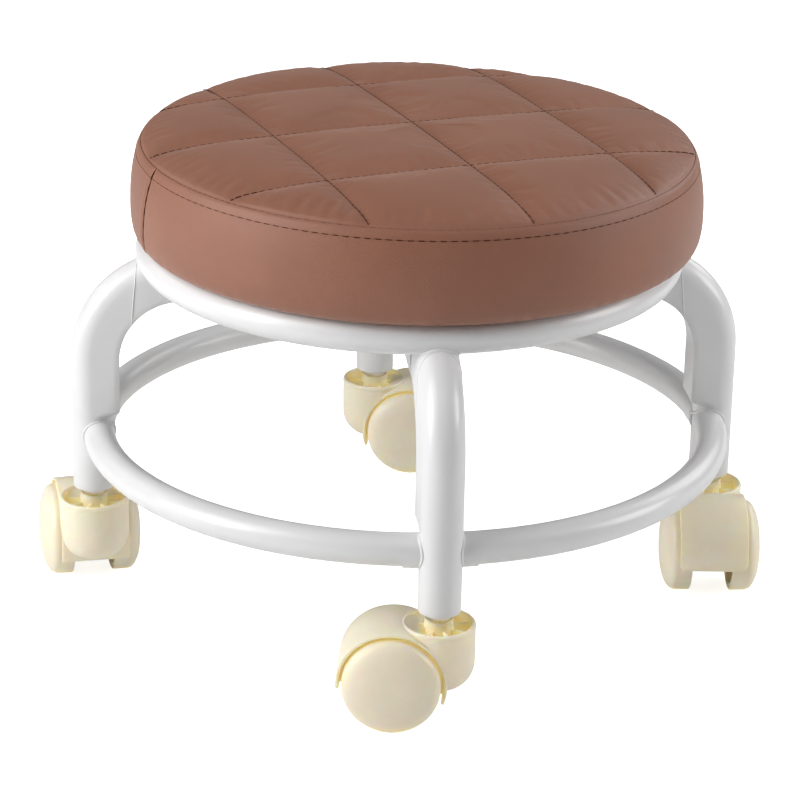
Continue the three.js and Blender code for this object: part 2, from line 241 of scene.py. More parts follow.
def objectCoordinates(material):
    return addNode(material, "ShaderNodeTexCoord").outputs["Object"]


def noiseField(material, scale, detail=3.0, roughness=0.5, place=None):
    field = addNode(material, "ShaderNodeTexNoise", Scale=scale, Detail=detail, Roughness=roughness)
    wire(material, place or objectCoordinates(material), field.inputs["Vector"])
    return field.outputs["Fac"]


def bumpFrom(material, shader, height, strength, distance):
    bump = addNode(material, "ShaderNodeBump", Strength=strength, Distance=distance)
    wire(material, height, bump.inputs["Height"])
    earlier = shader.inputs["Normal"].links
    if earlier:
        wire(material, earlier[0].from_socket, bump.inputs["Normal"])
    wire(material, bump.outputs["Normal"], shader.inputs["Normal"])


# colour and roughness drift between two values by a field
def vary(material, shader, field, socket, low, high):
    if socket == "Base Color":
        ramp = addNode(material, "ShaderNodeValToRGB")
        ramp.color_ramp.elements[0].position = 0.3
        ramp.color_ramp.elements[1].position = 0.7
        ramp.color_ramp.elements[0].color = (*low, 1)
        ramp.color_ramp.elements[1].color = (*high, 1)
        wire(material, field, ramp.inputs["Fac"])
        wire(material, ramp.outputs["Color"], shader.inputs[socket])
    else:
        spread = addNode(material, "ShaderNodeMapRange")
        spread.inputs["To Min"].default_value = low
        spread.inputs["To Max"].default_value = high
        wire(material, field, spread.inputs["Value"])
        wire(material, spread.outputs["Result"], shader.inputs[socket])


def shade(colour, factor):
    return tuple(channel * factor for channel in colour)


coat = {"colour": (0.755, 0.755, 0.76), "roughness": 0.34, "peelScale": 420, "peelDepth": 0.00006}


def powderCoatMaterial():
    material, shader = newMaterial("powderCoat", coat["colour"], coat["roughness"])
    shader.inputs["Coat Weight"].default_value = 0.25
    shader.inputs["Coat Roughness"].default_value = 0.2
    peel = noiseField(material, coat["peelScale"], detail=2.0)
    bumpFrom(material, shader, peel, 0.35, coat["peelDepth"])
    drift = noiseField(material, 14, detail=4.0)
    vary(material, shader, drift, "Base Color", shade(coat["colour"], 0.97), shade(coat["colour"], 1.02))
    vary(material, shader, drift, "Roughness", coat["roughness"] - 0.05, coat["roughness"] + 0.06)
    return material


vinyl = {
    "colour": (0.286, 0.120, 0.074),
    "roughness": 0.46,
    "grainScale": 900,
    "grainDepth": 0.00012,
}


def vinylMaterial():
    material, shader = newMaterial("brownVinyl", vinyl["colour"], vinyl["roughness"], specular=0.42)
    shader.inputs["Sheen Weight"].default_value = 0.19
    shader.inputs["Sheen Roughness"].default_value = 0.45
    shader.inputs["Sheen Tint"].default_value = (0.95, 0.8, 0.72, 1)
    place = objectCoordinates(material)
    wobble = addNode(material, "ShaderNodeTexNoise", Scale=500.0, Detail=2.0)
    wire(material, place, wobble.inputs["Vector"])
    shift = addNode(material, "ShaderNodeVectorMath", operation="SCALE")
    shift.inputs["Scale"].default_value = 0.0007
    wire(material, wobble.outputs["Color"], shift.inputs[0])
    moved = addNode(material, "ShaderNodeVectorMath", operation="ADD")
    wire(material, place, moved.inputs[0])
    wire(material, shift.outputs["Vector"], moved.inputs[1])
    pebble = addNode(material, "ShaderNodeTexVoronoi", feature="DISTANCE_TO_EDGE")
    pebble.inputs["Scale"].default_value = vinyl["grainScale"]
    wire(material, moved.outputs["Vector"], pebble.inputs["Vector"])
    crease = addNode(material, "ShaderNodeMapRange")
    crease.inputs["From Max"].default_value = 0.18
    wire(material, pebble.outputs["Distance"], crease.inputs["Value"])
    bumpFrom(material, shader, crease.outputs["Result"], 0.45, vinyl["grainDepth"])
    pore = noiseField(material, 2600, detail=2.0, place=place)
    bumpFrom(material, shader, pore, 0.22, vinyl["grainDepth"])
    drift = noiseField(material, 22, detail=5.0, place=place)
    vary(material, shader, drift, "Base Color", shade(vinyl["colour"], 0.94), shade(vinyl["colour"], 1.06))
    vary(material, shader, drift, "Roughness", vinyl["roughness"] - 0.05, vinyl["roughness"] + 0.06)
    return material


ivory = {
    "colour": (0.855, 0.785, 0.625),
    "roughness": 0.36,
    "glow": 0.7,
    "glowColour": (1.0, 0.62, 0.2),
    "glowDepth": 5 * mm,
    "paintedGlowColour": (0.88, 0.77, 0.42),  # painted glow: enclosed places are tinted this warm colour and made to emit, in place of light passing through the thin nylon
    "paintedGlowStrength": 0.15,
    "paintedGlowReach": 12 * mm,
    "paintedGlowStart": 0.62,  # how open a place is where the painted glow starts, and where it is full
    "paintedGlowFull": 0.12,
}


def ivoryMaterial():
    material, shader = newMaterial("ivoryNylon", ivory["colour"], ivory["roughness"])
    shader.inputs["Subsurface Weight"].default_value = ivory["glow"]
    shader.inputs["Subsurface Radius"].default_value = ivory["glowColour"]
    shader.inputs["Subsurface Scale"].default_value = ivory["glowDepth"]
    flow = noiseField(material, 60, detail=3.0)
    vary(material, shader, flow, "Base Color", shade(ivory["colour"], 0.975), shade(ivory["colour"], 1.015))
    outside = shader.inputs["Base Color"].links[0].from_socket
    # painted glow: where ambient occlusion finds a place enclosed, the base colour turns warm and the nylon
    # emits light, though it is no lamp
    around = addNode(material, "ShaderNodeAmbientOcclusion", samples=8, Distance=ivory["paintedGlowReach"])
    deep = addNode(material, "ShaderNodeMapRange")
    deep.inputs["From Min"].default_value = ivory["paintedGlowStart"]
    deep.inputs["From Max"].default_value = ivory["paintedGlowFull"]
    wire(material, around.outputs["AO"], deep.inputs["Value"])
    for socket, shallow in (("Base Color", outside), ("Emission Color", None)):
        blend = addNode(material, "ShaderNodeMixRGB", Color1=(0, 0, 0, 1))
        blend.inputs["Color2"].default_value = (*ivory["paintedGlowColour"], 1)
        wire(material, deep.outputs["Result"], blend.inputs["Fac"])
        if shallow:
            wire(material, shallow, blend.inputs["Color1"])
        wire(material, blend.outputs["Color"], shader.inputs[socket])
    # painted glow: how strongly the enclosed places emit
    shader.inputs["Emission Strength"].default_value = ivory["paintedGlowStrength"]
    vary(material, shader, flow, "Roughness", ivory["roughness"] - 0.04, ivory["roughness"] + 0.06)
    fine = noiseField(material, 1500, detail=2.0)
    bumpFrom(material, shader, fine, 0.12, 0.00004)
    return material


# a finish with one fine grain: bumps, and shades of colour or roughness that follow them
def grainedMaterial(name, colour, roughness, grain, bump, shades=None, polish=None, stretch=None, **more):
    material, shader = newMaterial(name, colour, roughness, **more)
    place = None
    if stretch:
        mapping = addNode(material, "ShaderNodeMapping", Scale=stretch)
        wire(material, objectCoordinates(material), mapping.inputs["Vector"])
        place = mapping.outputs["Vector"]
    field = noiseField(material, place=place, **grain)
    bumpFrom(material, shader, field, *bump)
    if shades:
        vary(material, shader, field, "Base Color", shade(colour, shades[0]), shade(colour, shades[1]))
    if polish:
        vary(material, shader, field, "Roughness", *polish)
    return material


def steelMaterial(name, colour, roughness):
    turning = {"scale": 1.0, "detail": 4.0}
    polish = (roughness - 0.08, roughness + 0.12)
    lines = {"stretch": (40, 40, 2500), "metallic": 1.0}
    return grainedMaterial(name, colour, roughness, turning, (0.25, 0.00005), None, polish, **lines)


def foamMaterial():
    colour = (0.78, 0.70, 0.44)
    material, shader = newMaterial("paleFoam", colour, 0.95)
    cell = addNode(material, "ShaderNodeTexVoronoi", Scale=1100.0)
    wire(material, objectCoordinates(material), cell.inputs["Vector"])
    bumpFrom(material, shader, cell.outputs["Distance"], 0.8, 0.0005)
    vary(material, shader, cell.outputs["Distance"], "Base Color", shade(colour, 0.7), colour)
    return material


powderCoat = powderCoatMaterial()
brownVinyl = vinylMaterial()
ivoryNylon = ivoryMaterial()
paleFoam = foamMaterial()
bareSteel = steelMaterial("bareSteel", (0.66, 0.67, 0.69), 0.22)
zincSteel = steelMaterial("zincSteel", (0.58, 0.56, 0.47), 0.36)
twist = {"scale": 3200, "detail": 2.0}
veneer = {"scale": 1.0, "detail": 6.0}
fibre = {"scale": 1800, "detail": 5.0, "roughness": 0.7}
moulding = {"scale": 1600, "detail": 3.0}
threadColour, plyColour = (0.052, 0.012, 0.006), (0.52, 0.33, 0.17)
fleeceColour, nylonColour = (0.018, 0.018, 0.02), (0.02, 0.02, 0.022)
twisted, layered = {"specular": 0.12}, {"stretch": (12, 260, 700)}
darkThread = grainedMaterial("darkThread", threadColour, 0.9, twist, (0.6, 0.0002), (0.6, 1.6), **twisted)
plywood = grainedMaterial("plywood", plyColour, 0.7, veneer, (0.3, 0.0003), (0.62, 1.15), **layered)
blackFleece = grainedMaterial("blackFleece", fleeceColour, 0.95, fibre, (0.9, 0.0004), (0.5, 2.2))
blackNylon = grainedMaterial("blackNylon", nylonColour, 0.5, moulding, (0.3, 0.0001), None, (0.42, 0.62))
print("materials made")


# the legs stand on a circle; each is lofted in its own plane and then turned to its place
legLow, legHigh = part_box("leg_right")
arcLow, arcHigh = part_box("lower_ring_arc_right")
ringLow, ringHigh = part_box("top_ring")
legTube = {
    "circleRadius": legHigh.x - 11 * mm,
    "radius": 11 * mm,
    "wall": 1.5 * mm,
    "flatDepth": 14.5 * mm,
    "flatHalfWidth": 12 * mm,
    "flatStart": legLow.z + 41.5 * mm,
    "flatRunOut": 5 * mm,
    "bendRadius": 47.5 * mm,
    "bendStart": legLow.z + 75.5 * mm,
    "innerEnd": legLow.x,
    "footRound": 0.7 * mm,
    "seamRadius": 145.8 * mm,  # where a fine weld seam crosses the neck
}
topRing = {
    "tube": 8.5 * mm,
    "radius": ringHigh.x - 8.5 * mm,
    "z": (ringLow.z + ringHigh.z) / 2,
}
lowerRing = {
    "tube": 8.5 * mm,
    "radius": arcHigh.x - 8 * mm,
    "z": (arcLow.z + arcHigh.z) / 2,
    "sleeveLength": 8 * mm,  # the weld land at each end hangs a little lower
    "sleeveDrop": 1.0 * mm,
}


# across is along the ring, outward is away from the stool's middle
def legSection(flatness):
    radius = legTube["radius"]
    points = []
    for j in range(33):
        angle = math.pi * j / 32
        points.append((radius * math.cos(angle), radius * math.sin(angle)))
    corner = (-legTube["flatHalfWidth"], -legTube["flatDepth"])
    side = [(-radius + (corner[0] + radius) * t, corner[1] * t) for t in (0.25, 0.5, 0.75)]
    side += [(corner[0] + 0.06 * mm, corner[1] + 0.7 * mm), (corner[0] + 0.22 * mm, corner[1] + 0.2 * mm)]
    side += [(corner[0] + 0.75 * mm, corner[1])]
    flat = [(corner[0] * t, corner[1]) for t in (0.7, 0.4, 0)]
    inner = side + flat
    inner += [(-x, y) for x, y in reversed(inner[:-1])]
    count = len(inner)
    for k, (x, y) in enumerate(inner):
        angle = math.pi + math.pi * (k + 1) / (count + 1)
        roundX, roundY = radius * math.cos(angle), radius * math.sin(angle)
        points.append((roundX + (x - roundX) * flatness, roundY + (y - roundY) * flatness))
    return points


def legStations():
    stations = []
    foot = legLow.z
    for z in (foot + legTube["footRound"], foot + 15 * mm, foot + 30 * mm, legTube["flatStart"]):
        stations.append((z, 0.0, 0.0))
    steps = 6
    for i in range(1, steps + 1):
        t = i / steps
        stations.append((legTube["flatStart"] + legTube["flatRunOut"] * t, 0.0, t * t * (3 - 2 * t)))
    stations.append((legTube["bendStart"], 0.0, 1.0))
    bendSteps = 40
    for i in range(1, bendSteps + 1):
        stations.append((legTube["bendStart"], math.pi / 2 * i / bendSteps, 1.0))
    return stations


# a point of the leg for a place in its section, at a height or an angle round the bend
def legPoint(place, z, bend, past=0.0):
    across, outward = place
    centre = legTube["circleRadius"] - legTube["bendRadius"]
    reach = legTube["bendRadius"] + outward
    return Vector((
        centre + reach * math.cos(bend) - past,
        across,
        z + reach * math.sin(bend),
    ))


def legLoft():
    rows = []
    full = legSection(0)
    wallShare = 1 - legTube["wall"] / legTube["radius"]
    boreTop = legLow.z + 24 * mm
    bore = ((boreTop, wallShare), (legLow.z + 0.4 * mm, wallShare), (legLow.z, wallShare + 0.03))
    for height, share in bore:
        rows.append([legPoint((x * share, y * share), height, 0) for x, y in full])
    for i in range(4):
        angle = math.pi / 2 * i / 4
        inset = legTube["footRound"] * (1 - math.sin(angle))
        share = 1 - inset / legTube["radius"]
        height = legLow.z + legTube["footRound"] * (1 - math.cos(angle))
        rows.append([legPoint((x * share, y * share), height, 0) for x, y in full])
    for height, bend, flatness in legStations():
        rows.append([legPoint(place, height, bend) for place in legSection(flatness)])
    run = legTube["circleRadius"] - legTube["bendRadius"] - legTube["innerEnd"]
    rows.append([legPoint(place, legTube["bendStart"], math.pi / 2, run) for place in legSection(1)])
    return skin("legTube", rows, sharpAngle=38)


# where the lines of the leg's outer side run into the top ring
def neckLine(count):
    line = []
    section = legSection(1)
    outline = section + section[:1]
    for k in range(count):
        place = outline[round(k * (len(outline) - 1) / count)]
        bend = 0.0
        for i in range(900):
            bend = math.pi / 2 * i / 900
            point = legPoint(place, legTube["bendStart"], bend)
            away = Vector((point.x, point.y)).length - topRing["radius"]
            if math.hypot(away, point.z - topRing["z"]) < topRing["tube"] and point.z < topRing["z"]:
                break
        else:
            continue
        line.append(point)
    return line


# a fine raised seam across the neck, a little outward as it goes down
def neckSeam():
    line = []
    for place in legSection(1):
        lean = (11 * mm - place[1]) * 0.12
        target = legTube["seamRadius"] + lean
        centre = legTube["circleRadius"] - legTube["bendRadius"]
        cosine = (target - centre) / (legTube["bendRadius"] + place[1])
        line.append(legPoint(place, legTube["bendStart"], math.acos(min(1, cosine))))
    return line


# the line where an arc of the lower ring meets the side of its leg, on the +Y side
def saddleLine(grow=0.0, count=48):
    line = []
    offset = lowerRing["radius"] - legTube["circleRadius"]
    reach = lowerRing["tube"] + grow
    for i in range(count):
        angle = 2 * math.pi * i / count
        outward = offset + reach * math.cos(angle)
        along = math.sqrt(max(legTube["radius"] ** 2 - outward ** 2, 0))
        height = lowerRing["z"] + reach * math.sin(angle)
        line.append(Vector((legTube["circleRadius"] + outward, along, height)))
    return line


# the section of a ring's tube at one turn; a sag hangs from its lower half
def tubeRow(ring, turn, sag=0.0):
    row = []
    for j in range(40):
        angle = 2 * math.pi * j / 40
        reach = ring["tube"] + sag * max(0.0, -math.sin(angle)) ** 1.5
        out = ring["radius"] + reach * math.cos(angle)
        height = ring["z"] + reach * math.sin(angle)
        row.append(Vector((out * math.cos(turn), out * math.sin(turn), height)))
    return row


def arcLoft():
    start = math.asin(4.5 * mm / lowerRing["radius"])
    sleeveEnd = math.asin((legTube["radius"] + lowerRing["sleeveLength"]) / lowerRing["radius"])
    bevel = 0.8 * mm / lowerRing["radius"]
    quarter = math.pi / 2
    marks = [start, sleeveEnd - bevel, sleeveEnd]
    steps = 60
    marks += [sleeveEnd + (quarter - 2 * sleeveEnd) * i / steps for i in range(1, steps)]
    marks += [quarter - sleeveEnd, quarter - sleeveEnd + bevel, quarter - start]
    rows = []
    for mark in marks:
        inSleeve = mark < sleeveEnd - bevel / 2 or mark > quarter - sleeveEnd + bevel / 2
        rows.append(tubeRow(lowerRing, mark, lowerRing["sleeveDrop"] if inSleeve else 0))
    return skin("lowerArc", rows, sharpAngle=50)


def ringLoft():
    rows = [tubeRow(topRing, 2 * math.pi * i / 240) for i in range(240)]
    return skin("topRingTube", rows, closedRows=True, sharpAngle=60)


def buildFrameTubes():
    ring = paint(ringLoft(), powderCoat)
    finishPiece(ring, "frame", "white_powder_coat", "top_ring")
    leg = paint(legLoft(), powderCoat)
    arc = paint(arcLoft(), powderCoat)
    mirror = Matrix.Scale(-1, 4, (0, 1, 0))
    saddle = saddleLine()
    welds = [
        bead("neckWeld", neckLine(60), 1.1 * mm),
        bead("neckSeam", neckSeam(), 0.32 * mm),
        bead("saddleWeld", saddle, 0.9 * mm),
        bead("saddleWeldMirrored", [mirror @ point for point in saddle], 0.9 * mm),
    ]
    weld = paint(joined("legWelds", welds), powderCoat)
    for side, degrees in turns.items():
        turn = Matrix.Rotation(math.radians(degrees), 4, "Z")
        placePiece(leg, "legTube", side, turn, "frame", "white_powder_coat", "leg")
        placePiece(arc, "lowerArc", side, turn, "frame", "white_powder_coat", "lower_ring_arc")
        placePiece(weld, "legWelds", side, turn, "frame", "white_powder_coat")
    for source in (leg, arc, weld):
        drop(source)
    for node in ("seat_bar_long", "seat_bar_back", "seat_bar_front"):
        paint(frame["nodes"][node], powderCoat)
        softEdges(frame["nodes"][node], 1.2 * mm)


def softEdges(made, width):
    bevel = made.modifiers.new("softEdges", "BEVEL")
    bevel.width = width
    bevel.segments = 3
    bevel.limit_method = "ANGLE"
    bevel.angle_limit = math.radians(40)
    bevel.harden_normals = True
    made.data.shade_smooth()


buildFrameTubes()
print("frame tubes, rings and welds built")


# a caster is built about its stem, wheels towards +X, and then turned to its place
caster = {
    "trail": 22.5 * mm,
    "wheelRadius": 25 * mm,
    "wheelInner": 11 * mm,
    "wheelWidth": 16.5 * mm,
    "hoodInner": 26.6 * mm,
    "hoodOuter": 28.2 * mm,
    "hoodHalfWidth": 18.5 * mm,
    "hoodRear": -8,
    "hoodFront": 199,
    "hoodCorner": 3.5 * mm,
    "webHalfWidth": 9 * mm,
    "cupRadius": 18.75 * mm,
    "cupWall": 2.1 * mm,
    "cupTop": 53.2 * mm,
    "cupBottom": 17.6 * mm,
    "pocketFloor": 38 * mm,
    "hubRadius": 7.3 * mm,
    "hubTop": 55 * mm,
    "stemRadius": 4 * mm,
    "ribs": 8,
    "ribThickness": 1.3 * mm,
    "ribTop": 50.6 * mm,
}
axleMiddle = Vector((caster["trail"], 0, caster["wheelRadius"]))
axlePlace = Matrix.Translation(axleMiddle) @ Matrix.Rotation(math.radians(-90), 4, "X")
joints = {joint["name"]: joint for joint in frame["record"]["behaviour"]["joints"]}


# a caster points from its stem to the middle of its axle
def casterMatrix(side):
    place = Vector(joints[f"swivel_{side}"]["pos_m"])
    away = Vector(joints[f"roll_{side}_a"]["pos_m"]) - place
    place.z = 0
    return Matrix.Translation(place) @ Matrix.Rotation(math.atan2(away.y, away.x), 4, "Z")


# a point on the hood's arc, seen from the side
def hoodPoint(radius, degrees, sideways):
    angle = math.radians(degrees)
    return Vector((
        caster["trail"] + radius * math.cos(angle),
        sideways,
        caster["wheelRadius"] + radius * math.sin(angle),
    ))


def hoodLoft():
    rows = []
    steps = 72
    span = caster["hoodFront"] - caster["hoodRear"]
    edge = 0.45 * mm
    degreesPerMetre = 180 / math.pi / caster["hoodOuter"]
    extra = [caster["hoodRear"] + d * mm * degreesPerMetre for d in (0.15, 0.5, 1.1, 1.9, 2.8)]
    marks = sorted(extra + [caster["hoodRear"] + span * i / steps for i in range(steps + 1)])
    for degrees in marks:
        fromEnd = (degrees - caster["hoodRear"]) / degreesPerMetre
        corner = caster["hoodCorner"]
        cut = corner - math.sqrt(max(corner ** 2 - (corner - min(fromEnd, corner)) ** 2, 0))
        half = caster["hoodHalfWidth"] - cut
        inner, outer = caster["hoodInner"], caster["hoodOuter"]
        row = [(inner, -half + edge), (inner + edge, -half), (outer - edge, -half)]
        row += [(outer - edge * 0.3, -half + edge * 0.3), (outer, -half + edge)]
        row += [(outer + 0.12 * mm, 0)]
        row += [(r, -y) for r, y in reversed(row[:-1])]
        rows.append([hoodPoint(r, degrees, y) for r, y in row])
    return skin("hood", rows, sharpAngle=50)


def webLoft():
    boss = 6.5 * mm
    outline = [hoodPoint(caster["hoodInner"] + 0.8 * mm, d, 0) for d in range(-7, 199, 3)]
    outline += [hoodPoint(boss, d, 0) for d in range(215, 326, 12)]
    half = caster["webHalfWidth"]
    edge = 0.5 * mm
    centre = hoodPoint(0, 0, 0)
    rows = []
    for y, inset in ((-half, edge), (-half + edge, 0), (half - edge, 0), (half, edge)):
        row = []
        for point in outline:
            towards = (centre - point).normalized()
            row.append(point + towards * inset + Vector((0, y, 0)))
        rows.append(row)
    return skin("web", rows, sharpAngle=35)


def cupShell():
    radius, wall = caster["cupRadius"], caster["cupWall"]
    top, bottom, floor = caster["cupTop"], caster["cupBottom"], caster["pocketFloor"]
    dome = radius - 4 * mm
    profile = [(0.2 * mm, bottom)]
    for i in range(17):
        angle = math.radians(-90 + 90 * i / 16)
        profile.append((4 * mm + dome * math.cos(angle), bottom + dome + dome * math.sin(angle)))
    profile += [(radius, top - 3.2 * mm), (radius - 0.15 * mm, top - 2.7 * mm)]
    crest = (radius - wall / 2, top)
    profile += rounded((radius + 0.12 * mm, top - 2.2 * mm), (radius + 0.2 * mm, top), crest, 5)
    profile += rounded(crest, (radius - wall, top), (radius - wall, top - 0.8 * mm), 4)
    profile += [(radius - wall - 0.2 * mm, floor + 1.5 * mm)]
    profile += [(radius - wall - 1.2 * mm, floor), (0.2 * mm, floor)]
    return turned("cup", profile, 96, sharpAngle=40)


def wheelRoom(sign):
    inner = caster["hoodInner"] + 0.05 * mm
    arc = [hoodPoint(inner, d, 0) for d in range(-8, 200, 4)]
    floor = -10 * mm
    outline = arc + [Vector((arc[-1].x, 0, floor)), Vector((arc[0].x, 0, floor))]
    rows = []
    for y in (caster["webHalfWidth"] - 0.6 * mm, 24 * mm):
        rows.append([point + Vector((0, sign * y, 0)) for point in outline])
    return skin("wheelRoom", rows)


def ribBox(turn):
    inner, outer = caster["hubRadius"] - 0.6 * mm, caster["cupRadius"] - caster["cupWall"] + 0.6 * mm
    half = caster["ribThickness"] / 2
    low, high = caster["pocketFloor"] - 0.8 * mm, caster["ribTop"]
    rows = []
    for x in (inner, outer):
        rows.append([
            Vector((x, -half, low)),
            Vector((x, half, low)),
            Vector((x, half * 0.75, high)),
            Vector((x, -half * 0.75, high)),
        ])
    rib = skin("rib", rows)
    rib.data.transform(Matrix.Rotation(turn, 4, "Z"))
    return rib


def hubSleeve():
    outer, inner = caster["hubRadius"], caster["stemRadius"] + 0.15 * mm
    low, high = caster["pocketFloor"] - 1 * mm, caster["hubTop"]
    edge = 0.5 * mm
    profile = [(inner, low), (outer + 0.4 * mm, low), (outer, high - edge), (outer - edge, high)]
    profile += [(inner + edge, high), (inner, high - edge)]
    return turned("hub", profile, 64, closed=True)


def housingSolid():
    cup = combined(cupShell(), [wheelRoom(1), wheelRoom(-1)], "DIFFERENCE")
    stemBore = turned("stemBore", [(caster["stemRadius"] + 0.15 * mm, z * mm) for z in (30, 60)], 48)
    axleBore = turned("axleBore", [(3.1 * mm, -12 * mm), (3.1 * mm, 12 * mm)], 48)
    axleBore.data.transform(axlePlace)
    ribs = [ribBox(2 * math.pi * (i + 0.5) / caster["ribs"]) for i in range(caster["ribs"])]
    body = combined(cup, [hoodLoft(), webLoft()] + ribs + [hubSleeve()], "UNION")
    body = combined(body, [stemBore, axleBore], "DIFFERENCE")
    body.name = "casterBody"
    body.data.shade_smooth()
    return sharpen(body, 34)


# one wheel with its outer face up; the recess behind the rim faces the hood's web
def wheelTurned():
    radius, width = caster["wheelRadius"], caster["wheelWidth"]
    tread = 8.2 * mm
    rim, hub, bore = 21.5 * mm, 7 * mm, 3.1 * mm
    profile = [(0.15 * mm, 10.2 * mm), (bore - 0.3 * mm, 10.2 * mm), (bore, 9.9 * mm), (bore, 0.3 * mm)]
    profile += [(bore + 0.3 * mm, 0), (hub - 0.4 * mm, 0), (hub, 0.4 * mm), (hub, 8.6 * mm)]
    profile += [(hub + 0.8 * mm, 9.2 * mm), (rim - 1 * mm, 9.0 * mm), (rim, 8.0 * mm), (rim, 0.5 * mm)]
    profile += [(rim + 0.5 * mm, 0), (radius - 0.8 * mm, 0), (radius - 0.2 * mm, 0.3 * mm)]
    profile += [(radius, 1 * mm), (radius, tread * 0.6)]
    steps = 26
    for i in range(steps):
        angle = math.pi / 2 * i / steps
        reach = radius * math.cos(angle) ** 0.82
        profile.append((max(reach, 0.4 * mm), tread + (width - tread) * math.sin(angle) ** 0.92))
    gate = 3.4 * mm  # a faint round moulding mark in the middle of the face
    marked = []
    for reach, height in profile:
        onFace = height > 12 * mm and reach < gate + 0.8 * mm
        marked.append((reach, height - (0.22 * mm if onFace and reach < gate else 0)))
    marked.append((0.1 * mm, marked[-1][1]))
    return turned("wheel", marked, 96, sharpAngle=32)


def stemTurned():
    bottom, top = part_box("caster_stem_right")[0].z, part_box("caster_stem_right")[1].z
    radius, collar = 4 * mm, 7.4 * mm
    low, high = 55.3 * mm, 59.2 * mm
    profile = [(0.2 * mm, bottom), (radius - 0.5 * mm, bottom), (radius, bottom + 0.5 * mm)]
    profile += [(radius, 33.6 * mm), (3 * mm, 33.65 * mm), (3 * mm, 35.55 * mm), (radius, 35.6 * mm)]
    profile += [(radius, low)]
    profile += rounded((collar - 1.4 * mm, low), (collar, low), (collar, low + 1.6 * mm), 6)
    profile += rounded((collar, high - 0.8 * mm), (collar, high), (collar - 0.8 * mm, high), 4)
    profile += [(radius + 0.2 * mm, high)]
    pitch = 1.25 * mm
    z = high + 0.3 * mm
    while z < top - 2 * mm:
        profile += [(radius, z), (radius - 0.55 * mm, z + pitch / 2)]
        z += pitch
    profile += [(radius, z), (radius - 0.8 * mm, top), (0.2 * mm, top)]
    return turned("stem", profile, 48)


def socketTurned():
    low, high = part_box("stem_socket_right")[0].z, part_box("stem_socket_right")[1].z
    outer, inner, edge, groove = 9.2 * mm, 4.3 * mm, 0.4 * mm, 0.5 * mm
    profile = [(inner, low + edge), (inner + edge, low), (outer - edge, low), (outer, low + edge)]
    z = low + 4 * mm
    while z < high - 3 * mm:
        profile += [(outer, z), (outer - groove, z + edge)]
        profile += [(outer - groove, z + 2 * mm), (outer, z + 2.4 * mm)]
        z += 4.5 * mm
    profile += [(outer, high - 1.5 * mm), (outer - 1 * mm, high)]
    profile += [(inner + 0.3 * mm, high), (inner, high - 0.3 * mm)]
    return turned("socket", profile, 48, closed=True)


def axleTurned():
    half, radius, edge = 21 * mm, 3 * mm, 0.6 * mm
    profile = [(0.2 * mm, -half), (radius - edge, -half), (radius, -half + edge)]
    profile += [(radius, half - edge), (radius - edge, half), (0.2 * mm, half)]
    axle = turned("axle", profile, 40)
    axle.data.transform(axlePlace)
    return axle


def buildCasters():
    housing = paint(housingSolid(), ivoryNylon)
    stem = paint(stemTurned(), bareSteel)
    socket = paint(socketTurned(), blackNylon)
    axle = paint(axleTurned(), bareSteel)
    wheel = paint(wheelTurned(), ivoryNylon)
    away = Matrix.Translation((0, 0, caster["wheelInner"]))
    flip = Matrix.Rotation(math.pi, 4, "X")
    for side in turns:
        place = casterMatrix(side)
        body = f"caster_{side}"
        placePiece(housing, "casterBody", side, place, body, "ivory_nylon", "caster_housing")
        placePiece(axle, "axlePin", side, place, body, "bare_steel", "caster_axle")
        placePiece(stem, "stemPin", side, place, "frame", "bare_steel", "caster_stem")
        placePiece(socket, "stemSleeve", side, place, "frame", "black_nylon", "stem_socket")
        for letter, onSide in (("a", flip @ away), ("b", away)):
            made = placedCopy(wheel, f"wheelDisc_{side}_{letter}", place @ axlePlace @ onSide)
            node = f"wheel_{side}_{letter}"
            finishPiece(made, node, "ivory_nylon", node)
        paint(frame["nodes"][f"stem_clip_{side}"], bareSteel)
    for source in (housing, stem, socket, axle, wheel):
        drop(source)


buildCasters()
print("casters built")


# the cushion: a quilted round top panel, a boxing strip round the side and a hem turned under
seatLow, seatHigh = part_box("seat_cover")
cushion = {
    "centre": ((seatLow.x + seatHigh.x) / 2 + 0.3 * mm, (seatLow.y + seatHigh.y) / 2 - 1 * mm),
    "bottom": seatLow.z,
    "rimRadius": 146 * mm,  # the seam between the top panel and the boxing strip
    "rimZ": seatLow.z + 50.2 * mm,
    "crownZ": seatLow.z + 62.6 * mm,
    "crownDrop": 3.4 * mm,
    "stitchZ": seatLow.z + 58.2 * mm,  # the quilting lines at the middle
    "stitchDrop": 2.7 * mm,
    "rollStart": 98 * mm,
    "rollPower": 2.0,
    "lean": -0.0072,  # the left side stands a little higher
    "quiltSpacing": 78.1 * mm,
    "quiltTurn": 16.5,
    "quiltCentre": (0.8 * mm, 9.4 * mm),
    "puffWidth": 9 * mm,
    "seamRounding": 0.5 * mm,
    "unevenness": 0.6 * mm,
    "rings": 130,
    "segments": 800,
    "sideStep": 1.5,
    "thickness": 1.2 * mm,
    "fill": 0.85,
}
quiltAngle = math.radians(cushion["quiltTurn"])
quiltLines = [-cushion["quiltSpacing"], 0.0, cushion["quiltSpacing"]]


def quiltAxes(x, y):
    dx, dy = x - cushion["quiltCentre"][0], y - cushion["quiltCentre"][1]
    u = dx * math.cos(quiltAngle) + dy * math.sin(quiltAngle)
    v = -dx * math.sin(quiltAngle) + dy * math.cos(quiltAngle)
    return u, v


def nearestLine(u):
    return np.minimum.reduce([np.abs(u - line) for line in quiltLines])


def puff(distance):
    rounding = cushion["seamRounding"]
    soft = np.sqrt(distance ** 2 + rounding ** 2) - rounding
    return 1 - np.exp(-soft / cushion["puffWidth"])


